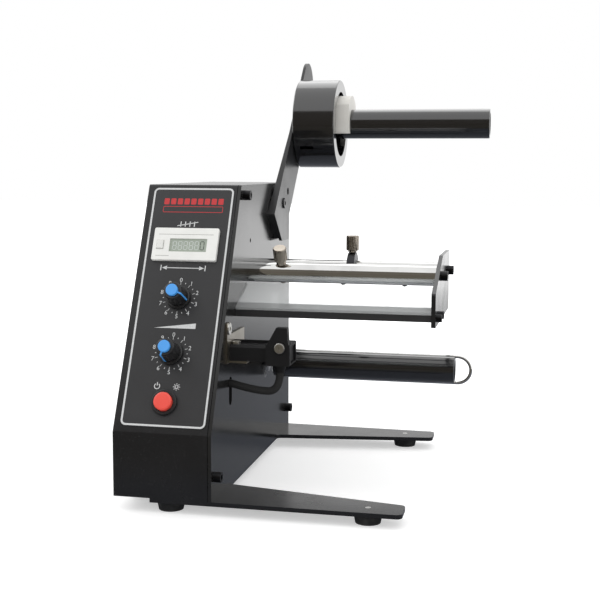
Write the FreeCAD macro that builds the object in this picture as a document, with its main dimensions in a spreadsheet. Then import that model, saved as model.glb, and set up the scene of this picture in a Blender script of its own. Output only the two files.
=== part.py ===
import FreeCAD, Part
import math
import os
import re

import Sketcher

# A desk machine that peels labels off their backing paper, in millimetres.
# Places are first given from the housing: x to the right from its left face, y back from
# its front face and z up from the table. Every piece is then moved by the same step, so
# that the origin lies on the table under the middle of the machine's outline.

DIMENSIONS = {
    # Housing
    "body_width": 70.0,
    "body_depth": 240.0,
    "body_top": 222.0,
    "lip_top": 55.0,
    "panel_setback": 81.0,
    "side_thick": 2.4,
    "left_thick": 2.0,
    "cover_thick": 1.5,
    "cover_seam": 0.4,
    "bend_radius": 3.0,
    "cover_flange": 20.0,
    "rear_flange": 12.0,
    "plate_flange": 12.0,
    "plate_flange_thick": 2.0,
    "plate_flange_inset": 24.0,
    "flange_screw_inset": 40.0,
    "cover_screw_inset": 15.0,
    # Base plate, legs and feet
    "foot_height": 7.0,
    "foot_radius": 10.0,
    "foot_tip_radius": 8.6,
    "foot_recess": 4.5,
    "foot_recess_radius": 4.5,
    "foot_left": 37.5,
    "foot_right": 175.0,
    "foot_front": 12.5,
    "foot_back": 14.0,
    "base_thick": 3.0,
    "leg_reach": 129.0,
    "near_root": 46.0,
    "far_root": 43.0,
    "leg_tip": 22.0,
    "far_skew": 3.0,
    "base_notch_wide": 26.0,
    "base_notch_deep": 24.0,
    "leg_corner": 4.0,
    # Case screws and tie bars
    "screw_slack": 0.05,
    "hole_spare": 0.5,
    "case_screw_radius": 2.0,
    "case_head_radius": 3.8,
    "case_head_tall": 2.2,
    "case_screw_reach": 8.0,
    "socket_radius": 1.7,
    "socket_deep": 1.4,
    "side_head_radius": 3.6,
    "side_head_tall": 5.0,
    "left_head_tall": 1.4,
    "left_socket_deep": 0.9,
    "side_screw_reach": 11.0,
    "side_socket_radius": 2.1,
    "side_socket_deep": 2.6,
    "tie_radius": 4.0,
    "tie_top_y": 89.0,
    "tie_top_drop": 7.5,
    "tie_front_y": 8.0,
    "tie_front_rise": 15.5,
    "tie_rear_rise": 16.9,
    "tie_rear_inset": 11.0,
    "dimple_y": 106.0,
    "dimple_z": 180.4,
    "dimple_radius": 1.6,
    "dimple_deep": 0.8,
    # Control panel, measured across from the left face and up the slope
    "panel_middle": 34.4,
    "overlay_thick": 0.4,
    "overlay_inset": 4.4,
    "overlay_low": 4.8,
    "overlay_tall": 178.4,
    "overlay_corner": 4.0,
    "counter_up": 137.8,
    "counter_width": 48.0,
    "counter_tall": 24.8,
    "counter_rise": 2.8,
    "counter_corner": 1.2,
    "counter_edge": 0.5,
    "case_wide": 44.0,
    "case_tall": 21.0,
    "case_deep": 30.0,
    "case_fit": 0.3,
    "lens_width": 27.6,
    "lens_tall": 10.0,
    "lens_right": 2.3,
    "lens_drop": 0.9,
    "lens_thick": 0.3,
    "lens_recess": 1.3,
    "lens_fit": 0.05,
    "reset_width": 4.8,
    "reset_tall": 6.2,
    "reset_left": 18.5,
    "reset_drop": 0.7,
    "reset_rise": 0.8,
    "reset_travel": 0.8,
    "reset_round": 0.5,
    "button_slack": 0.3,
    # Dials
    "length_up": 97.8,
    "speed_up": 57.2,
    "pot_radius": 8.2,
    "pot_deep": 9.0,
    "bush_radius": 3.5,
    "bush_rise": 4.0,
    "bush_hole": 3.6,
    "shaft_radius": 3.0,
    "shaft_slack": 0.05,
    "shaft_inside": 6.0,
    "shaft_cover": 3.0,
    "nut_radius": 4.9,
    "nut_tall": 2.0,
    "knob_lift": 0.8,
    "skirt_radius": 8.7,
    "skirt_tall": 2.6,
    "skirt_round": 0.9,
    "knob_radius": 7.2,
    "knob_tip_radius": 6.4,
    "knob_tall": 15.0,
    "knob_round": 0.8,
    "knob_hollow_radius": 5.3,
    "knob_hollow_tall": 4.6,
    "flute_radius": 0.7,
    "flute_out": 0.3,
    "cap_radius": 4.2,
    "cap_tall": 2.4,
    "cap_round": 0.4,
    "fin_thick": 1.1,
    "fin_deep": 0.8,
    "fin_proud": 0.4,
    "fin_slack": 0.05,
    "length_turn": 108.0,
    "speed_turn": 200.0,
    # Power button
    "power_up": 21.9,
    "switch_radius": 7.9,
    "switch_deep": 20.0,
    "switch_bezel_radius": 9.0,
    "switch_bezel_rise": 2.4,
    "switch_bezel_round": 0.8,
    "power_radius": 6.4,
    "power_rise": 6.0,
    "power_root": 4.0,
    "power_round": 1.2,
    "power_travel": 3.0,
    # Drive and rewind roller
    "roller_rear": 73.0,
    "roller_z": 77.4,
    "gear_radius": 18.5,
    "gear_long": 22.0,
    "gear_step": 1.5,
    "boss_radius": 7.0,
    "boss_fit": 0.1,
    "motor_gap": 5.6,
    "motor_screw_ring": 14.4,
    "motor_screw_radius": 1.5,
    "motor_head_radius": 2.8,
    "motor_head_tall": 1.6,
    "motor_screw_reach": 8.0,
    "drive_radius": 3.0,
    "drive_slack": 0.05,
    "drive_inside": 17.0,
    "roller_gap": 5.0,
    "roller_long": 145.0,
    "roller_radius": 10.75,
    "roller_bore": 7.5,
    "roller_edge": 0.4,
    "plug_long": 20.0,
    "plug_fit": 0.02,
    "wire_radius": 1.25,
    "wire_slack": 0.1,
    "wire_spread": 10.4,
    "wire_start": 6.0,
    "wire_loop_out": 2.0,
    # Electrics
    "board_gap": 8.0,
    "board_thick": 1.6,
    "board_y": 50.0,
    "board_deep": 85.0,
    "board_z": 28.0,
    "board_tall": 80.0,
    "post_radius": 3.0,
    "post_pin_radius": 1.5,
    "post_pin_rise": 1.5,
    "post_inset": 6.0,
    "capacitor_radius": 6.0,
    "capacitor_tall": 18.0,
    "relay_side": 16.0,
    "relay_tall": 15.0,
    "terminal_wide": 12.0,
    "terminal_long": 24.0,
    "terminal_tall": 10.0,
    "supply_wide": 32.0,
    "supply_long": 26.0,
    "supply_tall": 22.0,
    "part_gap": 6.0,
    "inlet_wide": 27.0,
    "inlet_tall": 20.0,
    "inlet_deep": 20.0,
    "inlet_lip": 2.5,
    "inlet_lip_thick": 2.0,
    "inlet_wall": 2.5,
    "inlet_socket_deep": 16.0,
    "inlet_level": 70.0,
    "blade_wide": 2.0,
    "blade_tall": 4.0,
    "blade_long": 12.0,
    "blade_pitch": 7.0,
    "vent_wide": 34.0,
    "vent_tall": 3.0,
    "vent_level": 140.0,
    "vent_span": 48.0,
    # Roll arm and spindle
    "spindle_behind": 19.0,
    "spindle_z": 272.0,
    "spindle_end": 239.0,
    "spindle_radius": 12.5,
    "spindle_bore": 9.5,
    "spindle_plug": 13.0,
    "spindle_edge": 0.5,
    "arm_angle": 46.0,
    "arm_gap": 3.5,
    "arm_thick": 2.5,
    "arm_half": 20.0,
    "arm_beyond": 48.8,
    "arm_knee": 122.3,
    "arm_toe": 120.1,
    "arm_toe_drop": 15.2,
    "arm_heel": 102.1,
    "arm_heel_drop": 33.9,
    "arm_hip": 88.0,
    "arm_corner": 3.0,
    "arm_rib_end": 30.0,
    "arm_rib_thick": 2.5,
    "arm_screw_low": 94.3,
    "arm_low_shift": 2.1,
    "arm_screw_high": 76.6,
    "arm_high_shift": 2.7,
    "arm_screw_radius": 3.0,
    "arm_head_radius": 4.3,
    "arm_head_tall": 1.3,
    "arm_head_round": 0.9,
    "arm_screw_reach": 12.0,
    "arm_pin_sink": 1.4,
    "spacer_radius": 5.5,
    "spindle_screw_radius": 4.0,
    "spindle_head_radius": 6.5,
    "spindle_head_tall": 4.0,
    "spindle_grip": 10.0,
    # Core drum and its clip
    "drum_gap": 0.3,
    "drum_long": 35.2,
    "drum_radius": 37.5,
    "drum_bore": 27.5,
    "drum_web": 5.0,
    "drum_slack": 0.08,
    "drum_round": 1.0,
    "slot_long": 11.2,
    "slot_wide": 3.0,
    "slot_start": 5.8,
    "slot_turn": 123.6,
    "clip_start": 28.7,
    "clip_long": 16.6,
    "clip_radius": 24.1,
    "clip_half": 18.0,
    "clip_below": 8.3,
    "clip_round": 1.5,
    # Guide rods, outer plate and peel edge
    "front_rod_radius": 7.5,
    "rear_rod_radius": 6.0,
    "rod_long": 140.0,
    "rod_front_y": 102.0,
    "rod_front_z": 157.5,
    "rod_rear_y": 159.0,
    "rod_rear_z": 156.7,
    "rod_screw_radius": 2.0,
    "rod_head_radius": 3.5,
    "rod_head_tall": 5.0,
    "rod_screw_grip": 10.0,
    "bar_screw_radius": 1.5,
    "bar_head_radius": 2.75,
    "bar_head_tall": 4.0,
    "outer_thick": 3.0,
    "outer_front": 62.7,
    "outer_low": 124.6,
    "outer_step": 148.2,
    "outer_crest_y": 118.0,
    "outer_crest_z": 171.0,
    "outer_back": 181.0,
    "outer_top": 170.8,
    "outer_round": 2.0,
    "bar_front": 63.8,
    "bar_deep": 9.2,
    "bar_low": 128.5,
    "bar_tall": 5.0,
    "bar_screw_y": 69.0,
    "liner_deep": 39.0,
    "liner_screw_y": 87.0,
    "peel_angle": 24.0,
    "peel_long": 35.5,
    "peel_thick": 2.0,
    "peel_edge": 0.6,
    # Cross screws of the front rod, and the rear rod's ring
    "cross_in": 25.5,
    "cross_pitch": 45.5,
    "cross_tilt": 28.0,
    "set_screw_radius": 2.0,
    "thumb_tip": 1.2,
    "front_thumb_lift": 3.2,
    "front_thumb_tall": 10.5,
    "ring_slack": 0.08,
    "ring_edge": 0.5,
    "rear_ring_x": 139.0,
    "rear_ring_radius": 12.4,
    "rear_ring_wide": 6.0,
    "rear_thumb_lift": 1.3,
    "rear_thumb_tall": 11.7,
    "thumb_radius": 5.0,
    "thumb_neck_radius": 3.6,
    "thumb_shank": 2.0,
    "thumb_slack": 0.08,
    "thumb_gap": 0.3,
    "thumb_edge": 0.6,
    "thumb_groove": 0.4,
    "thumb_groove_out": 0.15,
    # Sensor, its rail and its lead
    "bracket_y": 36.0,
    "bracket_deep": 46.0,
    "bracket_low": 98.5,
    "bracket_tall": 20.0,
    "bracket_thick": 1.5,
    "bracket_tab_deep": 8.5,
    "bracket_tab_tall": 8.5,
    "bracket_shelf": 14.0,
    "bracket_screw_y": 40.1,
    "bracket_screw_z": 122.8,
    "bracket_head_radius": 4.1,
    "bracket_head_tall": 1.0,
    "bracket_socket_deep": 0.6,
    "small_screw_radius": 1.5,
    "small_head_radius": 3.0,
    "small_head_tall": 1.8,
    "small_socket_radius": 1.3,
    "rail_y": 41.5,
    "rail_deep": 16.0,
    "rail_tall": 11.2,
    "rail_long": 42.5,
    "rail_lip_thick": 1.5,
    "rail_lip_tall": 1.8,
    "rail_edge": 1.5,
    "rail_screw_in": 3.3,
    "rail_screw_back": 6.5,
    "rail_slack": 0.3,
    "head_x": 98.5,
    "head_long": 17.1,
    "head_front": 4.6,
    "head_back": 2.0,
    "head_below": 1.8,
    "head_above": 0.3,
    "head_round": 1.0,
    "finger_root_in": 1.1,
    "finger_root_out": 16.0,
    "finger_tip_in": 7.5,
    "finger_tip_out": 15.2,
    "finger_deep": 6.0,
    "finger_tall": 11.7,
    "clamp_in": 10.1,
    "clamp_level": 10.9,
    "clamp_radius": 3.65,
    "clamp_tall": 2.0,
    "clamp_shank": 2.0,
    "clamp_slack": 0.08,
    "clamp_socket_radius": 1.5,
    "relief_across": 7.8,
    "relief_back": 11.1,
    "relief_radius": 4.6,
    "relief_tip_radius": 3.3,
    "relief_tall": 6.0,
    "lead_radius": 2.75,
    "guide_slot_y": 49.0,
    "guide_slot_wide": 7.6,
    "guide_slot_low": 66.8,
    "guide_slot_tall": 20.3,
}

# The sensor's lead as points from the housing's corner, with the radius of each bend
LEAD_ROUTE = [
    (106.3, 48.0, 92.2),
    (106.3, 48.0, 78.2),
    (88.0, 48.4, 78.4),
    (62.0, 49.2, 84.7),
    (42.0, 63.0, 73.0),
    (21.6, 63.0, 73.0),
]
LEAD_BENDS = [5.0, 40.0, 25.0, 22.0]

FLUTES = 18
THUMB_GROOVES = 20
VENTS = 7
HEXAGON = 6
FULL_TURN = 360
MOTOR_TURNS = [90, 210, 330]
TOUCH = 0.001

RIGHTWARD = FreeCAD.Vector(1, 0, 0)
BACKWARD = FreeCAD.Vector(0, 1, 0)
UPWARD = FreeCAD.Vector(0, 0, 1)

# Turns that lay a feature's own z axis along the named axis
LAY = {
    "x": FreeCAD.Rotation(UPWARD, RIGHTWARD),
    "y": FreeCAD.Rotation(UPWARD, BACKWARD),
    "z": FreeCAD.Rotation(),
}

# Formulas that several pieces share
DECK = "(foot_height + base_thick)"
CEILING = "(body_top - cover_thick)"
LEAN = "atan(panel_setback / (body_top - lip_top))"
STEEP = f"(90 deg - {LEAN})"
RIGHT_INSIDE = "(body_width - side_thick)"
COVER_END = "(body_width - side_thick - cover_seam)"
INSIDE_LEFT = "(left_thick + cover_seam)"
PLATE_INSET = "(cover_thick + cover_seam)"
HOLE_RADIUS = "(case_screw_radius + screw_slack)"
ROD_END = "(body_width + rod_long)"
ARM_TILT = "(arm_angle * 1 deg)"
ARM_FACE = "(body_width + arm_gap + arm_thick)"
ROLLER_START = "(body_width + roller_gap)"
ROLLER_Y = "(body_depth - roller_rear)"
SPINDLE_Y = "(body_depth + spindle_behind)"
MOTOR_LONG = f"({RIGHT_INSIDE} - gear_long - left_thick - motor_gap)"
BOARD_FACE = "(left_thick + board_gap + board_thick)"
MIDDLE_X = "(spindle_end / 2)"
MIDDLE_Y = f"(({SPINDLE_Y} + arm_beyond * cos({ARM_TILT}) + arm_half) / 2)"
RAIL_LOW = "(bracket_low + bracket_thick)"
RAIL_TOP = "(bracket_low + bracket_thick + rail_tall)"
HEAD_FRONT = "(rail_y - head_front)"
HEAD_LOW = "(bracket_low + bracket_thick - head_below)"
HEAD_TOP = f"({RAIL_TOP} + rail_lip_tall + head_above)"
FOOT_SPOTS = [
    ("foot_left", "foot_front"),
    ("foot_right", "foot_front"),
    ("foot_left", "(body_depth - foot_back)"),
    ("foot_right", "(body_depth - foot_back)"),
]
FLANGE_SPOTS = [
    (across, along)
    for across in ("(left_thick + plate_flange / 2)", f"({RIGHT_INSIDE} - plate_flange / 2)")
    for along in ("flange_screw_inset", "(body_depth - flange_screw_inset)")
]
REAR_SPOTS = ["cover_screw_inset", f"({COVER_END} - cover_screw_inset)"]
TIE_SPOTS = [
    ("tie_top_y", "(body_top - tie_top_drop)"),
    ("tie_front_y", f"({DECK} + tie_front_rise)"),
    ("(body_depth - tie_rear_inset)", f"({DECK} + tie_rear_rise)"),
]
ROD_SPOTS = [("rod_front_y", "rod_front_z"), ("rod_rear_y", "rod_rear_z")]
CROSS_TILT = "(cross_tilt * 1 deg)"
CROSS_LOW = "(-front_rod_radius - thumb_tip)"
CROSS_SPOTS = ["cross_in", "(cross_in + cross_pitch)", "(cross_in + 2 * cross_pitch)"]
BAR_SPOTS = [("bar_screw_y", "(bar_low + bar_tall / 2)"), ("liner_screw_y", "(bar_low + bar_tall / 2)")]
ARM_SPOTS = [("(-arm_screw_low)", "arm_low_shift"), ("(-arm_screw_high)", "(-arm_high_shift)")]
MOTOR_SPOTS = [
    (f"({ROLLER_Y} + motor_screw_ring * cos({turn} deg))", f"(roller_z + motor_screw_ring * sin({turn} deg))")
    for turn in MOTOR_TURNS
]
DIALS = {"length": ("length_up", "length_turn"), "speed": ("speed_up", "speed_turn")}

doc = FreeCAD.newDocument("label_dispenser")
sheet = doc.addObject("Spreadsheet::Sheet", "Dims")
for row, (alias, value) in enumerate(DIMENSIONS.items(), start=1):
    sheet.set(f"A{row}", alias)
    sheet.set(f"B{row}", str(value))
    sheet.setAlias(f"B{row}", alias)
doc.recompute()

subparts = []


def size(alias):
    """Reads one dimension from the sheet."""
    return float(sheet.get(alias))


def formula(text):
    """Returns the expression with each dimension's name pointed at the sheet."""
    return re.sub(r"[a-z]\w+", lambda word: f"Dims.{word[0]}" if word[0] in DIMENSIONS else word[0], text)


def bind(feature, prop, text):
    """Ties one property of a feature to a formula of the sheet's dimensions."""
    feature.setExpression(prop, formula(text))


def put(feature, place):
    """Ties a feature's corner or centre to a place in its body."""
    for axis, text in zip("xyz", place):
        bind(feature, f"Placement.Base.{axis}", text)


def moved(place, axis, step):
    """Returns a place with a step added along one axis."""
    return tuple(f"({text} + {step})" if name == axis else text for name, text in zip("xyz", place))


def new_body(label, at=("0", "0", "0"), lean=None):
    """Starts a sub-part whose own origin stands at a place on the machine."""
    body = doc.addObject("PartDesign::Body", label)
    body.Label = label
    body.AllowCompound = True
    if lean:
        body.Placement = FreeCAD.Placement(FreeCAD.Vector(), FreeCAD.Rotation(RIGHTWARD, 1))
        bind(body, "Placement.Rotation.Angle", lean)
    put(body, (f"{at[0]} - {MIDDLE_X}", f"{at[1]} - {MIDDLE_Y}", at[2]))
    subparts.append(body)
    return body


def panel_place(across, up, out="0"):
    """Returns the place on the machine of a point measured on the control panel."""
    back = f"({up} * sin({LEAN}) - {out} * cos({LEAN}))"
    return (across, back, f"(lip_top + {up} * cos({LEAN}) + {out} * sin({LEAN}))")


def panel_body(label, across="panel_middle", up="0"):
    """Starts a sub-part whose z axis stands square out of the control panel."""
    return new_body(label, at=panel_place(across, up), lean=STEEP)


def origin_feature(body, role):
    """Finds one of the body's own planes or axes."""
    return next(item for item in body.Origin.OriginFeatures if item.Role == role)


def block(body, name, low, extent, cut=False):
    """Adds or cuts a box from its low corner."""
    feature = body.newObject("PartDesign::SubtractiveBox" if cut else "PartDesign::AdditiveBox", name)
    for prop, text in zip(("Length", "Width", "Height"), extent):
        bind(feature, prop, text)
    put(feature, low)
    return feature


def rod(body, name, start, axis, radius, length, cut=False):
    """Adds or cuts a cylinder that runs up the named axis."""
    feature = body.newObject(f"PartDesign::{'Subtractive' if cut else 'Additive'}Cylinder", name)
    feature.Placement = FreeCAD.Placement(FreeCAD.Vector(), LAY[axis])
    put(feature, start)
    bind(feature, "Radius", radius)
    bind(feature, "Height", length)
    return feature


def taper(body, name, start, low_radius, top_radius, length):
    """Adds a cone that stands on the given place."""
    feature = body.newObject("PartDesign::AdditiveCone", name)
    put(feature, start)
    bind(feature, "Radius1", low_radius)
    bind(feature, "Radius2", top_radius)
    bind(feature, "Height", length)
    return feature


def hexagon(body, name, start, axis, radius, length, cut=False):
    """Adds or cuts a six-sided prism, for a nut or a screw's socket."""
    feature = body.newObject(f"PartDesign::{'Subtractive' if cut else 'Additive'}Prism", name)
    feature.Polygon = HEXAGON
    feature.Placement = FreeCAD.Placement(FreeCAD.Vector(), LAY[axis])
    put(feature, start)
    bind(feature, "Circumradius", radius)
    bind(feature, "Height", length)
    return feature


def on_panel(feature, across, up, out):
    """Turns a feature of an upright body square to the control panel."""
    feature.Placement = FreeCAD.Placement(FreeCAD.Vector(), FreeCAD.Rotation(RIGHTWARD, 1))
    bind(feature, "Placement.Rotation.Angle", STEEP)
    put(feature, panel_place(across, up, out))


def outline(body, name, plane, points, start, thick):
    """Pads a straight-sided outline off one of the body's own planes."""
    sketch = body.newObject("Sketcher::SketchObject", f"{name}_sketch")
    sketch.AttachmentSupport = (origin_feature(body, plane), [""])
    sketch.MapMode = "FlatFace"
    # The upright plane across the machine faces forwards, so its pads start at the back
    first = f"-({start} + {thick})" if plane == "XZ_Plane" else start
    bind(sketch, "AttachmentOffset.Base.z", first)
    turns = [math.tau * index / len(points) for index in range(len(points))]
    spots = [FreeCAD.Vector(math.cos(turn), math.sin(turn)) for turn in turns]
    for here, there in zip(spots, spots[1:] + spots[:1]):
        sketch.addGeometry(Part.LineSegment(here, there), False)
    for index in range(len(spots)):
        sketch.addConstraint(Sketcher.Constraint("Coincident", index, 2, (index + 1) % len(spots), 1))
    for index, (spot, point) in enumerate(zip(spots, points)):
        for kind, value, text in zip(("DistanceX", "DistanceY"), spot, point):
            rule = sketch.addConstraint(Sketcher.Constraint(kind, -1, 1, index, 1, value))
            sketch.renameConstraint(rule, f"{kind}_{index}")
            bind(sketch, f"Constraints.{kind}_{index}", text)
    pad = body.newObject("PartDesign::Pad", name)
    pad.Profile = sketch
    bind(pad, "Length", thick)
    return pad


def screw(body, name, seat, axis, outward, head, shank, socket=None):
    """Adds one screw whose head sits on the seat and faces up or down the named axis."""
    head_radius, head_tall = head
    shank_radius, shank_long = shank
    head_start = seat if outward else moved(seat, axis, f"(-{head_tall})")
    shank_start = moved(seat, axis, f"(-{shank_long})") if outward else seat
    added = rod(body, f"{name}_head", head_start, axis, head_radius, head_tall)
    rod(body, f"{name}_shank", shank_start, axis, shank_radius, shank_long)
    if socket:
        socket_radius, socket_deep = socket
        lowest = moved(seat, axis, f"({head_tall} - {socket_deep})" if outward else f"(-{head_tall})")
        hexagon(body, f"{name}_socket", lowest, axis, socket_radius, socket_deep, cut=True)
    return added


def around(body, feature, axis, copies):
    """Repeats a feature evenly round one of the body's axes."""
    pattern = body.newObject("PartDesign::PolarPattern", f"{feature.Name}_round")
    pattern.Originals = [feature]
    pattern.Axis = (origin_feature(body, f"{axis.upper()}_Axis"), [""])
    pattern.Angle = FULL_TURN
    pattern.Occurrences = copies
    body.Tip = pattern
    return pattern


def soften(body, name, radius, picks, flat=False):
    """Rounds or bevels the picked edges of the body as it stands."""
    doc.recompute()
    base = body.Tip
    chosen = [f"Edge{n}" for n, edge in enumerate(base.Shape.Edges, start=1) if any(pick(edge) for pick in picks)]
    if not chosen:
        raise ValueError(f"{body.Label} has no edge for {name}")
    feature = body.newObject("PartDesign::Chamfer" if flat else "PartDesign::Fillet", name)
    feature.Base = (base, chosen)
    bind(feature, "Size" if flat else "Radius", radius)
    return feature


def rim(feature, far=True):
    """Picks the circle at one end of a cylinder or cone."""
    doc.recompute()
    cone = hasattr(feature, "Radius1")
    radius = (feature.Radius2 if far else feature.Radius1).Value if cone else feature.Radius.Value
    centre = feature.Placement.multVec(UPWARD * (feature.Height.Value if far else 0))

    def pick(edge):
        circle = edge.Curve
        if not isinstance(circle, Part.Circle):
            return False
        return abs(circle.Radius - radius) < TOUCH and circle.Center.distanceToPoint(centre) < TOUCH

    return pick


def ridge(pad, *corners):
    """Picks the straight edges that rise from the numbered corners of a pad's outline."""
    doc.recompute()
    sketch = pad.Profile[0]
    across = sketch.Placement.Rotation.multVec(UPWARD)
    lines = [sketch.Placement.multVec(sketch.getPoint(corner, 1)) for corner in corners]

    def pick(edge):
        if not isinstance(edge.Curve, Part.Line):
            return False
        ends = [vertex.Point for vertex in edge.Vertexes]
        return any(all(end.distanceToLine(line, across) < TOUCH for end in ends) for line in lines)

    return pick


def along(axis):
    """Picks every straight edge that runs along one axis."""

    def pick(edge):
        return isinstance(edge.Curve, Part.Line) and abs(edge.Curve.Direction.dot(axis)) > 1 - TOUCH

    return pick


def on_face(feature, axis, far=True):
    """Picks the straight edges that lie in one end face of a box."""
    doc.recompute()
    extent = {"x": feature.Length, "y": feature.Width, "z": feature.Height}[axis].Value
    level = getattr(feature.Placement.Base, axis) + (extent if far else 0)

    def pick(edge):
        if not isinstance(edge.Curve, Part.Line):
            return False
        return all(abs(getattr(vertex.Point, axis) - level) < TOUCH for vertex in edge.Vertexes)

    return pick


def make_base_plate():
    body = new_body("base_plate")
    end = "(body_width + leg_reach)"
    plate = outline(
        body,
        "base_sheet",
        "XY_Plane",
        [
            ("base_notch_wide", "0"),
            (end, "0"),
            (end, "leg_tip"),
            ("body_width", "near_root"),
            ("body_width", "(body_depth - far_root)"),
            (end, "(body_depth - far_skew - leg_tip)"),
            (end, "(body_depth - far_skew)"),
            ("body_width", "body_depth"),
            ("0", "body_depth"),
            ("0", "base_notch_deep"),
            ("base_notch_wide", "base_notch_deep"),
        ],
        "foot_height",
        "base_thick",
    )
    soften(body, "base_corners", "leg_corner", [ridge(plate, 1, 2, 5, 6)])
    soften(body, "base_roots", "leg_corner", [ridge(plate, 3, 4)])
    for index, (across, back) in enumerate(FOOT_SPOTS + FLANGE_SPOTS):
        rod(body, f"base_hole_{index}", (across, back, "foot_height"), "z", HOLE_RADIUS, "base_thick", cut=True)


def make_rubber_feet():
    body = new_body("rubber_feet")
    for index, (across, back) in enumerate(FOOT_SPOTS):
        taper(body, f"foot_{index}", (across, back, "0"), "foot_tip_radius", "foot_radius", "foot_height")
        rod(body, f"foot_well_{index}", (across, back, "0"), "z", "foot_recess_radius", "foot_recess", cut=True)
        rod(body, f"foot_hole_{index}", (across, back, "0"), "z", HOLE_RADIUS, "foot_height", cut=True)


def make_case_screws():
    body = new_body("case_screws")
    head = ("case_head_radius", "case_head_tall")
    socket = ("socket_radius", "socket_deep")
    for index, (across, back) in enumerate(FOOT_SPOTS):
        # A screw under the housing also holds a cover's flange, one under a leg ends in the leg
        reach = f"({DECK} - foot_recess)" if across == "foot_right" else "case_screw_reach"
        place = (across, back, "foot_recess")
        screw(body, f"foot_screw_{index}", place, "z", False, head, ("case_screw_radius", reach), socket)
    for index, (across, back) in enumerate(FLANGE_SPOTS):
        place = (across, back, "foot_height")
        reach = "(base_thick + plate_flange_thick + hole_spare)"
        screw(body, f"flange_screw_{index}", place, "z", False, head, ("case_screw_radius", reach), socket)
    for index, across in enumerate(REAR_SPOTS):
        place = (across, "body_depth", f"({CEILING} - rear_flange / 2)")
        screw(body, f"rear_screw_{index}", place, "y", True, head, ("case_screw_radius", "case_screw_reach"), socket)


def make_side_plate():
    body = new_body("side_plate")
    plate = outline(
        body,
        "side_sheet",
        "YZ_Plane",
        [
            ("0", DECK),
            ("body_depth", DECK),
            ("body_depth", "body_top"),
            ("panel_setback", "body_top"),
            ("0", "lip_top"),
        ],
        RIGHT_INSIDE,
        "side_thick",
    )
    soften(body, "side_bends", "bend_radius", [ridge(plate, 3, 4)])
    low = (f"({RIGHT_INSIDE} - plate_flange)", "plate_flange_inset", DECK)
    block(body, "side_flange", low, ("plate_flange", "(body_depth - 2 * plate_flange_inset)", "plate_flange_thick"))
    for index, (across, back) in enumerate(FLANGE_SPOTS[2:]):
        rod(body, f"flange_hole_{index}", (across, back, DECK), "z", HOLE_RADIUS, "plate_flange_thick", cut=True)
    for index, (back, up) in enumerate(TIE_SPOTS):
        rod(body, f"tie_hole_{index}", (RIGHT_INSIDE, back, up), "x", HOLE_RADIUS, "side_thick", cut=True)
    for index, (back, up) in enumerate(ROD_SPOTS):
        radius = "(rod_screw_radius + screw_slack)"
        rod(body, f"rod_hole_{index}", (RIGHT_INSIDE, back, up), "x", radius, "side_thick", cut=True)
    for index, (back, up) in enumerate(BAR_SPOTS):
        radius = "(bar_screw_radius + screw_slack)"
        rod(body, f"bar_hole_{index}", (RIGHT_INSIDE, back, up), "x", radius, "side_thick", cut=True)
    for index, (along_arm, off_arm) in enumerate(ARM_SPOTS):
        place = (RIGHT_INSIDE,) + arm_place(along_arm, off_arm)
        rod(body, f"arm_hole_{index}", place, "x", "(arm_screw_radius + screw_slack)", "side_thick", cut=True)
    boss = (RIGHT_INSIDE, ROLLER_Y, "roller_z")
    rod(body, "boss_hole", boss, "x", "(boss_radius + boss_fit)", "side_thick", cut=True)
    for index, (back, up) in enumerate(MOTOR_SPOTS):
        radius = "(motor_screw_radius + screw_slack)"
        rod(body, f"motor_hole_{index}", (RIGHT_INSIDE, back, up), "x", radius, "side_thick", cut=True)
        sunk = ("(body_width - motor_head_tall)", back, up)
        wide = "(motor_head_radius + screw_slack)"
        rod(body, f"motor_sink_{index}", sunk, "x", wide, "motor_head_tall", cut=True)
    bracket = (RIGHT_INSIDE, "bracket_screw_y", "bracket_screw_z")
    rod(body, "bracket_hole", bracket, "x", "(small_screw_radius + screw_slack)", "side_thick", cut=True)
    dimple = ("(body_width - dimple_deep)", "dimple_y", "dimple_z")
    rod(body, "dimple", dimple, "x", "dimple_radius", "dimple_deep", cut=True)
    # The lead's slot has round ends
    half = "(guide_slot_wide / 2)"
    low = (RIGHT_INSIDE, f"(guide_slot_y - {half})", f"(guide_slot_low + {half})")
    block(body, "lead_slot", low, ("side_thick", "guide_slot_wide", "(guide_slot_tall - guide_slot_wide)"), cut=True)
    for index, level in enumerate((f"(guide_slot_low + {half})", f"(guide_slot_low + guide_slot_tall - {half})")):
        rod(body, f"lead_end_{index}", (RIGHT_INSIDE, "guide_slot_y", level), "x", half, "side_thick", cut=True)


def arm_place(along_arm, off_arm):
    """Returns the y and z on the machine of a point measured along and across the arm."""
    back = f"({SPINDLE_Y} + {along_arm} * cos({ARM_TILT}) - {off_arm} * sin({ARM_TILT}))"
    return (back, f"(spindle_z + {along_arm} * sin({ARM_TILT}) + {off_arm} * cos({ARM_TILT}))")


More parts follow.
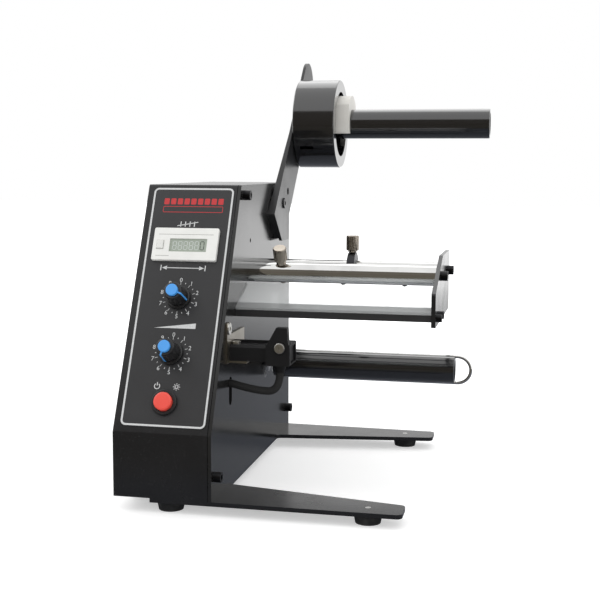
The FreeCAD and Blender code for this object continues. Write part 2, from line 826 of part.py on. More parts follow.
def make_left_plate():
    body = new_body("left_plate")
    rear = "(body_depth - 2 * cover_thick - cover_seam)"
    outline(
        body,
        "left_sheet",
        "YZ_Plane",
        [
            (PLATE_INSET, f"({DECK} + cover_thick + cover_seam)"),
            (rear, f"({DECK} + cover_thick + cover_seam)"),
            (rear, f"(body_top - {PLATE_INSET})"),
            (f"(panel_setback + {PLATE_INSET} * tan({STEEP} / 2))", f"(body_top - {PLATE_INSET})"),
            (PLATE_INSET, f"(lip_top - {PLATE_INSET} * tan({LEAN} / 2))"),
        ],
        "0",
        "left_thick",
    )
    low = ("0", "plate_flange_inset", DECK)
    deep = "(body_depth - 2 * plate_flange_inset)"
    block(body, "left_foot", low, ("left_thick", deep, "(cover_thick + cover_seam)"))
    block(body, "left_flange", low, ("(left_thick + plate_flange)", deep, "plate_flange_thick"))
    for index, (across, back) in enumerate(FLANGE_SPOTS[:2]):
        rod(body, f"left_flange_hole_{index}", (across, back, DECK), "z", HOLE_RADIUS, "plate_flange_thick", cut=True)
    for index, (back, up) in enumerate(TIE_SPOTS):
        rod(body, f"left_tie_hole_{index}", ("0", back, up), "x", HOLE_RADIUS, "left_thick", cut=True)
        wide = "(side_head_radius + screw_slack)"
        rod(body, f"left_sink_{index}", ("0", back, up), "x", wide, "left_head_tall", cut=True)
    for index, (back, up) in enumerate(post_spots()):
        rod(body, f"left_post_hole_{index}", ("0", back, up), "x", "post_pin_radius", "left_thick", cut=True)


def post_spots():
    """Returns the y and z of the four posts that hold the control board."""
    backs = ("(board_y + post_inset)", "(board_y + board_deep - post_inset)")
    ups = ("(board_z + post_inset)", "(board_z + board_tall - post_inset)")
    return [(back, up) for back in backs for up in ups]


def make_front_cover():
    body = new_body("front_cover")
    sheet_pad = outline(
        body,
        "cover_sheet",
        "YZ_Plane",
        [
            ("0", DECK),
            ("cover_thick", DECK),
            ("cover_thick", f"(lip_top - cover_thick * tan({LEAN} / 2))"),
            (f"(panel_setback + cover_thick * tan({STEEP} / 2))", CEILING),
            ("body_depth", CEILING),
            ("body_depth", "body_top"),
            ("panel_setback", "body_top"),
            ("0", "lip_top"),
        ],
        "0",
        COVER_END,
    )
    soften(body, "outer_bends", "bend_radius", [ridge(sheet_pad, 6, 7)])
    soften(body, "inner_bends", "(bend_radius - cover_thick)", [ridge(sheet_pad, 2, 3)])
    wide = f"({COVER_END} - {INSIDE_LEFT})"
    block(body, "lip_flange", (INSIDE_LEFT, "0", DECK), (wide, "(cover_thick + cover_flange)", "cover_thick"))
    low = (INSIDE_LEFT, "(body_depth - 2 * cover_thick)", f"({CEILING} - rear_flange)")
    block(body, "top_flange", low, (wide, "cover_thick", "rear_flange"))
    rod(body, "lip_hole", ("foot_left", "foot_front", DECK), "z", HOLE_RADIUS, "cover_thick", cut=True)
    for index, across in enumerate(REAR_SPOTS):
        place = (across, "(body_depth - 2 * cover_thick)", f"({CEILING} - rear_flange / 2)")
        rod(body, f"top_hole_{index}", place, "y", HOLE_RADIUS, "cover_thick", cut=True)
    # The panel's openings run square through the sloping sheet
    inside = "(-cover_thick - hole_spare)"
    through = "(cover_thick + 2 * hole_spare)"
    for name, (up, _) in DIALS.items():
        hole = rod(body, f"{name}_hole", ("0", "0", "0"), "z", "bush_hole", through, cut=True)
        on_panel(hole, "panel_middle", up, inside)
    hole = rod(body, "switch_hole", ("0", "0", "0"), "z", "(switch_radius + screw_slack)", through, cut=True)
    on_panel(hole, "panel_middle", "power_up", inside)
    window = ("(case_wide + 2 * case_fit)", "(case_tall + 2 * case_fit)", through)
    hole = block(body, "counter_hole", ("0", "0", "0"), window, cut=True)
    on_panel(hole, f"(panel_middle - {window[0]} / 2)", f"(counter_up - {window[1]} / 2)", inside)


def make_rear_cover():
    body = new_body("rear_cover")
    inner = "(body_depth - cover_thick)"
    block(body, "rear_sheet", ("0", inner, DECK), (COVER_END, "cover_thick", f"({CEILING} - {DECK})"))
    wide = f"({COVER_END} - {INSIDE_LEFT})"
    low = (INSIDE_LEFT, f"({inner} - cover_flange)", DECK)
    block(body, "rear_foot_flange", low, (wide, "cover_flange", "cover_thick"))
    place = ("foot_left", "(body_depth - foot_back)", DECK)
    rod(body, "rear_foot_hole", place, "z", HOLE_RADIUS, "cover_thick", cut=True)
    for index, across in enumerate(REAR_SPOTS):
        place = (across, inner, f"({CEILING} - rear_flange / 2)")
        rod(body, f"rear_hole_{index}", place, "y", HOLE_RADIUS, "cover_thick", cut=True)
    low = (f"({COVER_END} / 2 - inlet_wide / 2)", inner, "inlet_level")
    block(body, "inlet_hole", low, ("inlet_wide", "cover_thick", "inlet_tall"), cut=True)
    low = (f"({COVER_END} / 2 - vent_wide / 2)", inner, "vent_level")
    vent = block(body, "vent", low, ("vent_wide", "cover_thick", "vent_tall"), cut=True)
    row = body.newObject("PartDesign::LinearPattern", "vent_row")
    row.Originals = [vent]
    row.Direction = (origin_feature(body, "Z_Axis"), [""])
    bind(row, "Length", "vent_span")
    row.Occurrences = VENTS
    body.Tip = row


def make_tie_bars():
    body = new_body("tie_bars")
    for index, (back, up) in enumerate(TIE_SPOTS):
        start = ("left_thick", back, up)
        rod(body, f"tie_{index}", start, "x", "tie_radius", f"({RIGHT_INSIDE} - left_thick)")
        left_deep = "(side_screw_reach - left_thick + hole_spare)"
        rod(body, f"tie_left_{index}", start, "x", HOLE_RADIUS, left_deep, cut=True)
        right_deep = "(side_screw_reach - side_thick + hole_spare)"
        place = (f"({RIGHT_INSIDE} - {right_deep})", back, up)
        rod(body, f"tie_right_{index}", place, "x", HOLE_RADIUS, right_deep, cut=True)


def make_side_screws():
    body = new_body("side_screws")
    head = ("side_head_radius", "side_head_tall")
    shank = ("case_screw_radius", "side_screw_reach")
    socket = ("side_socket_radius", "side_socket_deep")
    # The left heads lie flush in their plate
    left_head = ("side_head_radius", "left_head_tall")
    left_shank = ("case_screw_radius", "(side_screw_reach - left_head_tall)")
    left_socket = ("side_socket_radius", "left_socket_deep")
    for index, (back, up) in enumerate(TIE_SPOTS):
        screw(body, f"right_screw_{index}", ("body_width", back, up), "x", True, head, shank, socket)
        screw(body, f"left_screw_{index}", ("left_head_tall", back, up), "x", False, left_head, left_shank, left_socket)


def make_panel_overlay():
    body = panel_body("panel_overlay", across="0")
    wide = "(body_width - 2 * overlay_inset)"
    low = ("overlay_inset", "overlay_low", "0")
    block(body, "overlay_sheet", low, (wide, "overlay_tall", "overlay_thick"))
    soften(body, "overlay_corners", "overlay_corner", [along(UPWARD)])
    for name, (up, _) in DIALS.items():
        rod(body, f"overlay_{name}", ("panel_middle", up, "0"), "z", "bush_hole", "overlay_thick", cut=True)
    place = ("panel_middle", "power_up", "0")
    rod(body, "overlay_switch", place, "z", "(switch_radius + screw_slack)", "overlay_thick", cut=True)
    window = ("(case_wide + 2 * case_fit)", "(case_tall + 2 * case_fit)", "overlay_thick")
    low = (f"(panel_middle - {window[0]} / 2)", f"(counter_up - {window[1]} / 2)", "0")
    block(body, "overlay_window", low, window, cut=True)


def make_counter_case():
    body = panel_body("counter_case", up="counter_up")
    extent = ("case_wide", "case_tall", "(case_deep + overlay_thick)")
    block(body, "case_block", ("(-case_wide / 2)", "(-case_tall / 2)", "(-case_deep)"), extent)


def make_counter_bezel():
    body = panel_body("counter_bezel", up="counter_up")
    low = ("(-counter_width / 2)", "(-counter_tall / 2)", "overlay_thick")
    frame = block(body, "bezel_block", low, ("counter_width", "counter_tall", "counter_rise"))
    soften(body, "bezel_corners", "counter_corner", [along(UPWARD)])
    soften(body, "bezel_edge", "counter_edge", [on_face(frame, "z")])
    low = lens_corner("lens_fit", "(overlay_thick + counter_rise - lens_recess)")
    extent = ("(lens_width + 2 * lens_fit)", "(lens_tall + 2 * lens_fit)", "lens_recess")
    block(body, "lens_seat", low, extent, cut=True)
    low = reset_corner("button_slack", "overlay_thick")
    extent = ("(reset_width + 2 * button_slack)", "(reset_tall + 2 * button_slack)", "counter_rise")
    block(body, "reset_hole", low, extent, cut=True)


def lens_corner(gap, level):
    """Returns the low corner of the counter's window, grown by a gap."""
    return (f"(lens_right - lens_width / 2 - {gap})", f"(-lens_drop - lens_tall / 2 - {gap})", level)


def reset_corner(gap, level):
    """Returns the low corner of the counter's button, grown by a gap."""
    return (f"(-reset_left - reset_width / 2 - {gap})", f"(-reset_drop - reset_tall / 2 - {gap})", level)


def make_counter_lens():
    body = panel_body("counter_lens", up="counter_up")
    low = lens_corner("0", "(overlay_thick + counter_rise - lens_recess)")
    block(body, "lens_block", low, ("lens_width", "lens_tall", "lens_thick"))


def make_counter_button():
    body = panel_body("counter_button", up="counter_up")
    bottom = "(overlay_thick + reset_travel + button_slack)"
    tall = "(counter_rise + reset_rise - reset_travel - button_slack)"
    key = block(body, "reset_block", reset_corner("0", bottom), ("reset_width", "reset_tall", tall))
    soften(body, "reset_rounding", "reset_round", [on_face(key, "z")])


def make_dial_pots():
    body = panel_body("dial_pots")
    for name, (up, _) in DIALS.items():
        bottom = "(-cover_thick - pot_deep)"
        rod(body, f"{name}_pot", ("0", up, bottom), "z", "pot_radius", "pot_deep")
        rod(body, f"{name}_bush", ("0", up, "(-cover_thick)"), "z", "bush_radius", "(cover_thick + bush_rise)")
        start = ("0", up, "(-cover_thick - shaft_inside)")
        long = "(cover_thick + shaft_inside + bush_rise)"
        rod(body, f"{name}_bore", start, "z", "(shaft_radius + shaft_slack)", long, cut=True)


def make_pot_nuts():
    body = panel_body("pot_nuts")
    for name, (up, _) in DIALS.items():
        hexagon(body, f"{name}_nut", ("0", up, "overlay_thick"), "z", "nut_radius", "nut_tall")
        hole = "(bush_radius + screw_slack)"
        rod(body, f"{name}_nut_hole", ("0", up, "overlay_thick"), "z", hole, "nut_tall", cut=True)


KNOB_LOW = "(overlay_thick + knob_lift)"
KNOB_TOP = f"({KNOB_LOW} + knob_tall)"


def make_dial(name):
    """Makes the shaft, knob and pointer cap of one dial."""
    up = DIALS[name][0]
    shaft = panel_body(f"{name}_shaft", up=up)
    start = "(-cover_thick - shaft_inside)"
    rod(shaft, f"{name}_stem", ("0", "0", start), "z", "shaft_radius", f"({KNOB_TOP} - shaft_cover - {start})")

    knob = panel_body(f"{name}_knob", up=up)
    base = rod(knob, f"{name}_skirt", ("0", "0", KNOB_LOW), "z", "skirt_radius", "skirt_tall")
    soften(knob, f"{name}_skirt_edge", "skirt_round", [rim(base)])
    start = f"({KNOB_LOW} + skirt_tall)"
    grip = taper(knob, f"{name}_grip", ("0", "0", start), "knob_radius", "knob_tip_radius", "(knob_tall - skirt_tall)")
    soften(knob, f"{name}_grip_edge", "knob_round", [rim(grip)])
    place = ("(knob_radius + flute_out)", "0", start)
    flute = rod(knob, f"{name}_flute", place, "z", "flute_radius", "knob_tall", cut=True)
    around(knob, flute, "z", FLUTES)
    rod(knob, f"{name}_hollow", ("0", "0", KNOB_LOW), "z", "knob_hollow_radius", "knob_hollow_tall", cut=True)
    bore = "(shaft_radius + shaft_slack)"
    rod(knob, f"{name}_seat", ("0", "0", KNOB_LOW), "z", bore, "(knob_tall - shaft_cover)", cut=True)
    slot = block(
        knob,
        f"{name}_slot",
        ("0", "0", "0"),
        ("(fin_thick + 2 * fin_slack)", "skirt_radius", "knob_tall"),
        cut=True,
    )
    point(slot, name, "(-fin_thick / 2 - fin_slack)", "(knob_tip_radius - fin_deep - fin_slack)", start)

    cap = panel_body(f"{name}_cap", up=up)
    disc = rod(cap, f"{name}_disc", ("0", "0", KNOB_TOP), "z", "cap_radius", "cap_tall")
    soften(cap, f"{name}_disc_edge", "cap_round", [rim(disc)])
    add_fin(cap, name, start)


def point(feature, name, across, out, up):
    """Turns a dial's feature to where its pointer stands, clockwise from the top."""
    turn = f"({DIALS[name][1]} * 1 deg)"
    feature.Placement = FreeCAD.Placement(FreeCAD.Vector(), FreeCAD.Rotation(UPWARD, 1))
    bind(feature, "Placement.Rotation.Angle", f"-{turn}")
    place = (f"({across} * cos({turn}) + {out} * sin({turn}))", f"({out} * cos({turn}) - {across} * sin({turn}))", up)
    put(feature, place)


def add_fin(cap, name, start):
    """Adds the thin fin that runs from the cap down the side of its knob."""
    inner = "(cap_radius - fin_thick)"
    fin = outline(
        cap,
        f"{name}_fin",
        "YZ_Plane",
        [
            (inner, KNOB_TOP),
            ("(knob_tip_radius - fin_deep)", KNOB_TOP),
            ("(knob_radius - fin_deep)", start),
            ("(knob_radius + fin_proud)", start),
            ("(knob_tip_radius + fin_proud)", KNOB_TOP),
            (inner, f"({KNOB_TOP} + cap_tall / 2)"),
        ],
        "0",
        "fin_thick",
    )
    fin.SideType = "Symmetric"
    sketch = fin.Profile[0]
    sketch.AttachmentOffset = FreeCAD.Placement(FreeCAD.Vector(), FreeCAD.Rotation(BACKWARD, 1))
    bind(sketch, "AttachmentOffset.Rotation.Angle", f"-({DIALS[name][1]} * 1 deg)")


def make_switch():
    body = panel_body("switch_body", up="power_up")
    rod(body, "switch_can", ("0", "0", "(-switch_deep)"), "z", "switch_radius", "(switch_deep + overlay_thick)")
    well = "(power_root + power_travel + button_slack)"
    start = ("0", "0", f"(overlay_thick - {well})")
    rod(body, "switch_well", start, "z", "(power_radius + button_slack)", well, cut=True)

    body = panel_body("switch_bezel", up="power_up")
    ring = rod(body, "bezel_ring", ("0", "0", "overlay_thick"), "z", "switch_bezel_radius", "switch_bezel_rise")
    soften(body, "bezel_rounding", "switch_bezel_round", [rim(ring)])
    hole = "(power_radius + button_slack)"
    rod(body, "bezel_bore", ("0", "0", "overlay_thick"), "z", hole, "switch_bezel_rise", cut=True)

    body = panel_body("power_button", up="power_up")
    start = ("0", "0", "(overlay_thick - power_root)")
    key = rod(body, "power_key", start, "z", "power_radius", "(power_root + power_rise)")
    soften(body, "power_rounding", "power_round", [rim(key)])


def make_gear_box():
    body = new_body("gear_box")
    axle = (ROLLER_Y, "roller_z")
    can = rod(body, "gear_can", (f"({RIGHT_INSIDE} - gear_long)",) + axle, "x", "gear_radius", "gear_long")
    soften(body, "gear_edge", "gear_step", [rim(can, far=False)], flat=True)
    rod(body, "gear_boss", (RIGHT_INSIDE,) + axle, "x", "boss_radius", "side_thick")
    bore = "(drive_radius + drive_slack)"
    inside = "(drive_inside + hole_spare)"
    rod(body, "gear_bore", (f"(body_width - {inside})",) + axle, "x", bore, inside, cut=True)
    for index, (back, up) in enumerate(MOTOR_SPOTS):
        deep = "(motor_screw_reach + motor_head_tall - side_thick + hole_spare)"
        place = (f"({RIGHT_INSIDE} - {deep})", back, up)
        rod(body, f"gear_hole_{index}", place, "x", "(motor_screw_radius + screw_slack)", deep, cut=True)


def make_drive_motor():
    body = new_body("drive_motor")
    start = ("(left_thick + motor_gap)", ROLLER_Y, "roller_z")
    can = rod(body, "motor_can", start, "x", "(gear_radius - gear_step)", MOTOR_LONG)
    soften(body, "motor_edge", "gear_step", [rim(can, far=False)])


def make_motor_screws():
    body = new_body("motor_screws")
    head = ("motor_head_radius", "motor_head_tall")
    for index, (back, up) in enumerate(MOTOR_SPOTS):
        seat = ("(body_width - motor_head_tall)", back, up)
        shank = ("motor_screw_radius", "motor_screw_reach")
        screw(body, f"motor_screw_{index}", seat, "x", True, head, shank, ("small_socket_radius", "socket_deep"))


def make_drive_shaft():
    body = new_body("drive_shaft")
    start = ("(body_width - drive_inside)", ROLLER_Y, "roller_z")
    rod(body, "drive_stem", start, "x", "drive_radius", "(drive_inside + roller_gap)")
    place = (ROLLER_START, ROLLER_Y, "roller_z")
    rod(body, "drive_plug", place, "x", "(roller_bore - plug_fit)", "plug_long")


def make_rewind_roller():
    body = new_body("rewind_roller")
    axle = (ROLLER_Y, "roller_z")
    tube = rod(body, "roller_tube", (ROLLER_START,) + axle, "x", "roller_radius", "roller_long")
    soften(body, "roller_edges", "roller_edge", [rim(tube), rim(tube, far=False)])
    rod(body, "roller_hole", (ROLLER_START,) + axle, "x", "roller_bore", "roller_long", cut=True)
    for index, side in enumerate(("+", "-")):
        place = (f"({ROLLER_START} + wire_start - wire_slack)", ROLLER_Y, f"(roller_z {side} wire_spread)")
        rod(body, f"wire_groove_{index}", place, "x", "(wire_radius + wire_slack)", "roller_long", cut=True)


def make_wire_clip():
    body = new_body("wire_clip", at=(ROLLER_START, ROLLER_Y, "roller_z"))
    straight = "(roller_long - wire_start + wire_loop_out)"
    for index, side in enumerate(("", "-")):
        place = ("wire_start", "0", f"({side}wire_spread)")
        rod(body, f"wire_leg_{index}", place, "x", "wire_radius", straight)
    loop = body.newObject("PartDesign::AdditiveTorus", "wire_loop")
    loop.Placement = FreeCAD.Placement(FreeCAD.Vector(), FreeCAD.Rotation(-UPWARD, RIGHTWARD, -BACKWARD))
    put(loop, ("(roller_long + wire_loop_out)", "0", "0"))
    bind(loop, "Radius1", "wire_spread")
    bind(loop, "Radius2", "wire_radius")
    loop.Angle3 = FULL_TURN / 2


def make_board():
    body = new_body("control_board")
    low = ("(left_thick + board_gap)", "board_y", "board_z")
    block(body, "board_sheet", low, ("board_thick", "board_deep", "board_tall"))
    for index, (back, up) in enumerate(post_spots()):
        place = ("(left_thick + board_gap)", back, up)
        rod(body, f"board_hole_{index}", place, "x", "(post_pin_radius + screw_slack)", "board_thick", cut=True)

    body = new_body("board_posts")
    for index, (back, up) in enumerate(post_spots()):
        rod(body, f"post_{index}", ("left_thick", back, up), "x", "post_radius", "board_gap")
        long = "(left_thick + board_gap + board_thick + post_pin_rise)"
        rod(body, f"post_pin_{index}", ("0", back, up), "x", "post_pin_radius", long)

    body = new_body("board_parts")
    first = "(board_y + part_gap)"
    low = (BOARD_FACE, first, "(board_z + board_tall / 2 - terminal_long / 2)")
    block(body, "terminal_block", low, ("terminal_tall", "terminal_wide", "terminal_long"))
    second = f"({first} + terminal_wide + part_gap)"
    low = (BOARD_FACE, second, "(board_z + part_gap)")
    block(body, "supply_block", low, ("supply_tall", "supply_wide", "supply_long"))
    low = (BOARD_FACE, second, "(board_z + board_tall - part_gap - relay_side)")
    block(body, "relay_block", low, ("relay_tall", "relay_side", "relay_side"))
    third = f"({second} + supply_wide + part_gap + capacitor_radius)"
    for index, share in enumerate(("1 / 3", "2 / 3")):
        place = (BOARD_FACE, third, f"(board_z + board_tall * {share})")
        rod(body, f"capacitor_{index}", place, "x", "capacitor_radius", "capacitor_tall")


def make_power_inlet():
    middle = f"({COVER_END} / 2)"
    body = new_body("power_inlet", at=(middle, "body_depth", "(inlet_level + inlet_tall / 2)"))
    low = ("(-inlet_wide / 2)", "(-inlet_deep)", "(-inlet_tall / 2)")
    block(body, "inlet_case", low, ("inlet_wide", "inlet_deep", "inlet_tall"))
    lip = ("(-inlet_wide / 2 - inlet_lip)", "0", "(-inlet_tall / 2 - inlet_lip)")
    extent = ("(inlet_wide + 2 * inlet_lip)", "inlet_lip_thick", "(inlet_tall + 2 * inlet_lip)")
    block(body, "inlet_lip_plate", lip, extent)
    soften(body, "inlet_corners", "inlet_lip", [along(BACKWARD)])
    low = ("(-inlet_wide / 2 + inlet_wall)", "(-inlet_socket_deep)", "(-inlet_tall / 2 + inlet_wall)")
    hollow = ("(inlet_wide - 2 * inlet_wall)", "(inlet_socket_deep + inlet_lip_thick)", "(inlet_tall - 2 * inlet_wall)")
    block(body, "inlet_socket", low, hollow, cut=True)
    for index, across in enumerate(("(-blade_pitch)", "0", "blade_pitch")):
        low = (f"({across} - blade_wide / 2)", "(-inlet_socket_deep)", "(-blade_tall / 2)")
        block(body, f"inlet_blade_{index}", low, ("blade_wide", "blade_long", "blade_tall"))


def make_roll_arm():
    place = ("(body_width + arm_gap)", SPINDLE_Y, "spindle_z")
    body = new_body("roll_arm", at=place, lean=ARM_TILT)
    plate = outline(
        body,
        "arm_sheet",
        "YZ_Plane",
        [
            ("(-arm_knee)", "arm_half"),
            ("(-arm_toe)", "(-arm_toe_drop)"),
            ("(-arm_heel)", "(-arm_heel_drop)"),
            ("(-arm_hip)", "(-arm_half)"),
            ("arm_beyond", "(-arm_half)"),
            ("arm_beyond", "arm_half"),
        ],
        "0",
        "arm_thick",
    )
    soften(body, "arm_corners", "arm_corner", [ridge(plate, 1, 2)])
    rod(body, "arm_end", ("0", "arm_beyond", "0"), "x", "arm_half", "arm_thick")
    # A folded rib stiffens the front edge and fades out up the arm
    outline(
        body,
        "arm_rib",
        "XY_Plane",
        [("0", "(-arm_knee)"), ("(-arm_gap)", "(-arm_knee)"), ("0", "(-arm_rib_end)")],
        "(arm_half - arm_rib_thick)",
        "arm_rib_thick",
    )
    outline(
        body,
        "arm_toe_rib",
        "YZ_Plane",
        [
            ("(-arm_knee)", "arm_half"),
            ("(-arm_toe - (arm_knee - arm_toe) * arm_corner / (arm_half + arm_toe_drop))", "(arm_corner - arm_toe_drop)"),
            ("(arm_rib_thick - arm_toe)", "(arm_corner - arm_toe_drop)"),
            ("(arm_rib_thick - arm_knee)", "arm_half"),
        ],
        "(-arm_gap)",
        "arm_gap",
    )
    for index, (up, off) in enumerate(ARM_SPOTS):
        rod(body, f"arm_hole_{index}", ("0", up, off), "x", "(arm_screw_radius + screw_slack)", "arm_thick", cut=True)
    rod(body, "arm_eye", ("0", "0", "0"), "x", "(spindle_screw_radius + screw_slack)", "arm_thick", cut=True)


def make_arm_screws():
    body = new_body("arm_screws")
    low_spot, high_spot = [arm_place(up, off) for up, off in ARM_SPOTS]
    seat = (ARM_FACE,) + low_spot
    shank = ("arm_screw_radius", "arm_screw_reach")
    socket = ("side_socket_radius", "(arm_head_tall - hole_spare)")
    head = screw(body, "arm_screw", seat, "x", True, ("arm_head_radius", "arm_head_tall"), shank, socket)
    soften(body, "arm_head_edge", "arm_head_round", [rim(head)])
    start = (f"({ARM_FACE} - arm_screw_reach)",) + high_spot
    rod(body, "arm_pin", start, "x", "arm_screw_radius", "(arm_screw_reach - arm_pin_sink)")


def make_arm_spacers():
    body = new_body("arm_spacers")
    for index, (up, off) in enumerate(ARM_SPOTS):
        place = ("body_width",) + arm_place(up, off)
        rod(body, f"spacer_{index}", place, "x", "spacer_radius", "arm_gap")
        rod(body, f"spacer_hole_{index}", place, "x", "(arm_screw_radius + screw_slack)", "arm_gap", cut=True)


def make_spindle():
    body = new_body("spindle_tube", at=(ARM_FACE, SPINDLE_Y, "spindle_z"))
    long = f"(spindle_end - {ARM_FACE})"
    tube = rod(body, "spindle_rod", ("0", "0", "0"), "x", "spindle_radius", long)
    soften(body, "spindle_edges", "spindle_edge", [rim(tube)])
    rod(body, "spindle_hollow", ("spindle_plug", "0", "0"), "x", "spindle_bore", long, cut=True)
    hole = "(spindle_screw_radius + screw_slack)"
    rod(body, "spindle_tap", ("0", "0", "0"), "x", hole, "(spindle_grip + hole_spare)", cut=True)

    body = new_body("spindle_screw", at=("(body_width + arm_gap)", SPINDLE_Y, "spindle_z"))
    head = ("spindle_head_radius", "spindle_head_tall")
    shank = ("spindle_screw_radius", "(arm_thick + spindle_grip)")
    screw(body, "spindle_bolt", ("0", "0", "0"), "x", False, head, shank, ("side_socket_radius", "side_socket_deep"))


def make_core_drum():
    place = (f"({ARM_FACE} + drum_gap)", SPINDLE_Y, "spindle_z")
    body = new_body("core_drum", at=place, lean="(slot_turn * 1 deg)")
    wall = rod(body, "drum_wall", ("0", "0", "0"), "x", "drum_radius", "drum_long")
    soften(body, "drum_edges", "drum_round", [rim(wall), rim(wall, far=False)])
    rod(body, "drum_hollow", ("drum_web", "0", "0"), "x", "drum_bore", "drum_long", cut=True)
    rod(body, "drum_eye", ("0", "0", "0"), "x", "(spindle_radius + drum_slack)", "drum_web", cut=True)
    low = ("slot_start", "(-slot_wide / 2)", "((spindle_radius + drum_bore) / 2)")
    block(body, "drum_slot", low, ("slot_long", "slot_wide", "drum_radius"), cut=True)


def make_hub_saddle():
    body = new_body("hub_saddle", at=(f"({ARM_FACE} + clip_start)", SPINDLE_Y, "spindle_z"))
    rod(body, "saddle_round", ("0", "0", "0"), "x", "clip_radius", "clip_long")
    wide = "(2 * clip_radius)"
    side = "(clip_radius - clip_half)"
    block(body, "saddle_front", ("0", "(-clip_radius)", "(-clip_radius)"), ("clip_long", side, wide), cut=True)
    block(body, "saddle_back", ("0", "clip_half", "(-clip_radius)"), ("clip_long", side, wide), cut=True)
    low = ("0", "(-clip_radius)", "(-clip_radius)")
    block(body, "saddle_foot", low, ("clip_long", wide, "(clip_radius - clip_below)"), cut=True)
    soften(body, "saddle_corners", "clip_round", [along(RIGHTWARD)])
    rod(body, "saddle_snap", ("0", "0", "0"), "x", "(spindle_radius + drum_slack)", "clip_long", cut=True)


def make_guide_rods():
    for name, spot, tilt in zip(("front_rod", "rear_rod"), ROD_SPOTS, (CROSS_TILT, None)):
        body = new_body(name, at=("body_width",) + spot, lean=tilt)
        rod(body, f"{name}_bar", ("0", "0", "0"), "x", f"{name}_radius", "rod_long")
        deep = "(rod_screw_grip + hole_spare)"
        hole = "(rod_screw_radius + screw_slack)"
        rod(body, f"{name}_left", ("0", "0", "0"), "x", hole, deep, cut=True)
        rod(body, f"{name}_right", (f"(rod_long - {deep})", "0", "0"), "x", hole, deep, cut=True)
        if tilt:
            drill_across(body)


def drill_across(body):
    """Drills the thumb screw's hole through the front rod, and two blind ones from below."""
    low = "(-front_rod_radius)"
    hole = "(thumb_shank + thumb_slack)"
    rod(body, "cross_hole", (CROSS_SPOTS[0], "0", low), "z", hole, "(2 * front_rod_radius)", cut=True)
    for index, across in enumerate(CROSS_SPOTS[1:]):
        hole = "(set_screw_radius + screw_slack)"
        rod(body, f"blind_hole_{index}", (across, "0", low), "z", hole, "front_rod_radius", cut=True)


def make_set_screws():
    body = new_body("rod_set_screws", at=("body_width",) + ROD_SPOTS[0], lean=CROSS_TILT)
    for index, across in enumerate(CROSS_SPOTS[1:]):
        place = (across, "0", CROSS_LOW)
        rod(body, f"set_screw_{index}", place, "z", "set_screw_radius", f"(-hole_spare - {CROSS_LOW})")
        hexagon(body, f"set_socket_{index}", place, "z", "small_socket_radius", "socket_deep", cut=True)


def make_plate_screws():
    """Makes the screws that hold the rods and bars from both ends."""
    small = ("small_socket_radius", "socket_deep")
    for label, seat_x, outward, plate in (
        ("inner_screws", RIGHT_INSIDE, False, "side_thick"),
        ("outer_screws", f"({ROD_END} + outer_thick)", True, "outer_thick"),
    ):
        body = new_body(label)
        reach = f"({plate} + rod_screw_grip)"
        for index, (back, up) in enumerate(ROD_SPOTS):
            head = ("rod_head_radius", "rod_head_tall")
            shank = ("rod_screw_radius", reach)
            socket = ("side_socket_radius", "side_socket_deep")
            screw(body, f"{label}_rod_{index}", (seat_x, back, up), "x", outward, head, shank, socket)
        for index, (back, up) in enumerate(BAR_SPOTS):
            head = ("bar_head_radius", "bar_head_tall")
            shank = ("bar_screw_radius", reach)
            screw(body, f"{label}_bar_{index}", (seat_x, back, up), "x", outward, head, shank, small)


def make_outer_plate():
    body = new_body("outer_plate")
    plate = outline(
        body,
        "outer_sheet",
        "YZ_Plane",
        [
            ("outer_front", "outer_low"),
            ("outer_front", "outer_step"),
            ("outer_crest_y", "outer_crest_z"),
            ("outer_back", "outer_top"),
            ("outer_back", "outer_low"),
        ],
        ROD_END,
        "outer_thick",
    )
    soften(body, "outer_corners", "outer_round", [ridge(plate, 0, 1, 2, 3, 4)])
    for index, (back, up) in enumerate(ROD_SPOTS):
        radius = "(rod_screw_radius + screw_slack)"
        rod(body, f"outer_rod_hole_{index}", (ROD_END, back, up), "x", radius, "outer_thick", cut=True)
    for index, (back, up) in enumerate(BAR_SPOTS):
        radius = "(bar_screw_radius + screw_slack)"
        rod(body, f"outer_bar_hole_{index}", (ROD_END, back, up), "x", radius, "outer_thick", cut=True)


def end_taps(body, name, back, up):
    """Taps both ends of a bar for its end screws."""
    deep = "(rod_screw_grip + hole_spare)"
    hole = "(bar_screw_radius + screw_slack)"
    rod(body, f"{name}_tap_left", ("body_width", back, up), "x", hole, deep, cut=True)
    rod(body, f"{name}_tap_right", (f"({ROD_END} - {deep})", back, up), "x", hole, deep, cut=True)


def make_peel_edge():
    body = new_body("peel_bar")
    top = "(bar_low + bar_tall)"
    bar = outline(
        body,
        "bar_wedge",
        "YZ_Plane",
        [
            ("bar_front", "bar_low"),
            ("(bar_front + bar_deep)", "bar_low"),
            ("(bar_front + bar_deep)", f"({top} + bar_deep * tan(peel_angle * 1 deg))"),
            ("bar_front", top),
        ],
        "body_width",
        "rod_long",
    )
    soften(body, "bar_edge", "peel_edge", [ridge(bar, 0)])
    end_taps(body, "bar", *BAR_SPOTS[0])

    body = new_body("liner_plate")
    low = ("body_width", "(bar_front + bar_deep)", "bar_low")
    block(body, "liner_sheet", low, ("rod_long", "liner_deep", "bar_tall"))
    end_taps(body, "liner", *BAR_SPOTS[1])

    body = new_body("peel_plate", at=("body_width", "bar_front", top), lean="(peel_angle * 1 deg)")
    sheet_block = block(body, "peel_sheet", ("0", "0", "0"), ("rod_long", "peel_long", "peel_thick"))
    soften(body, "peel_rounding", "peel_edge", [on_both(on_face(sheet_block, "y", far=False), on_face(sheet_block, "z"))])


def on_both(first, second):
    """Picks the edges that two other picks share."""
    return lambda edge: first(edge) and second(edge)


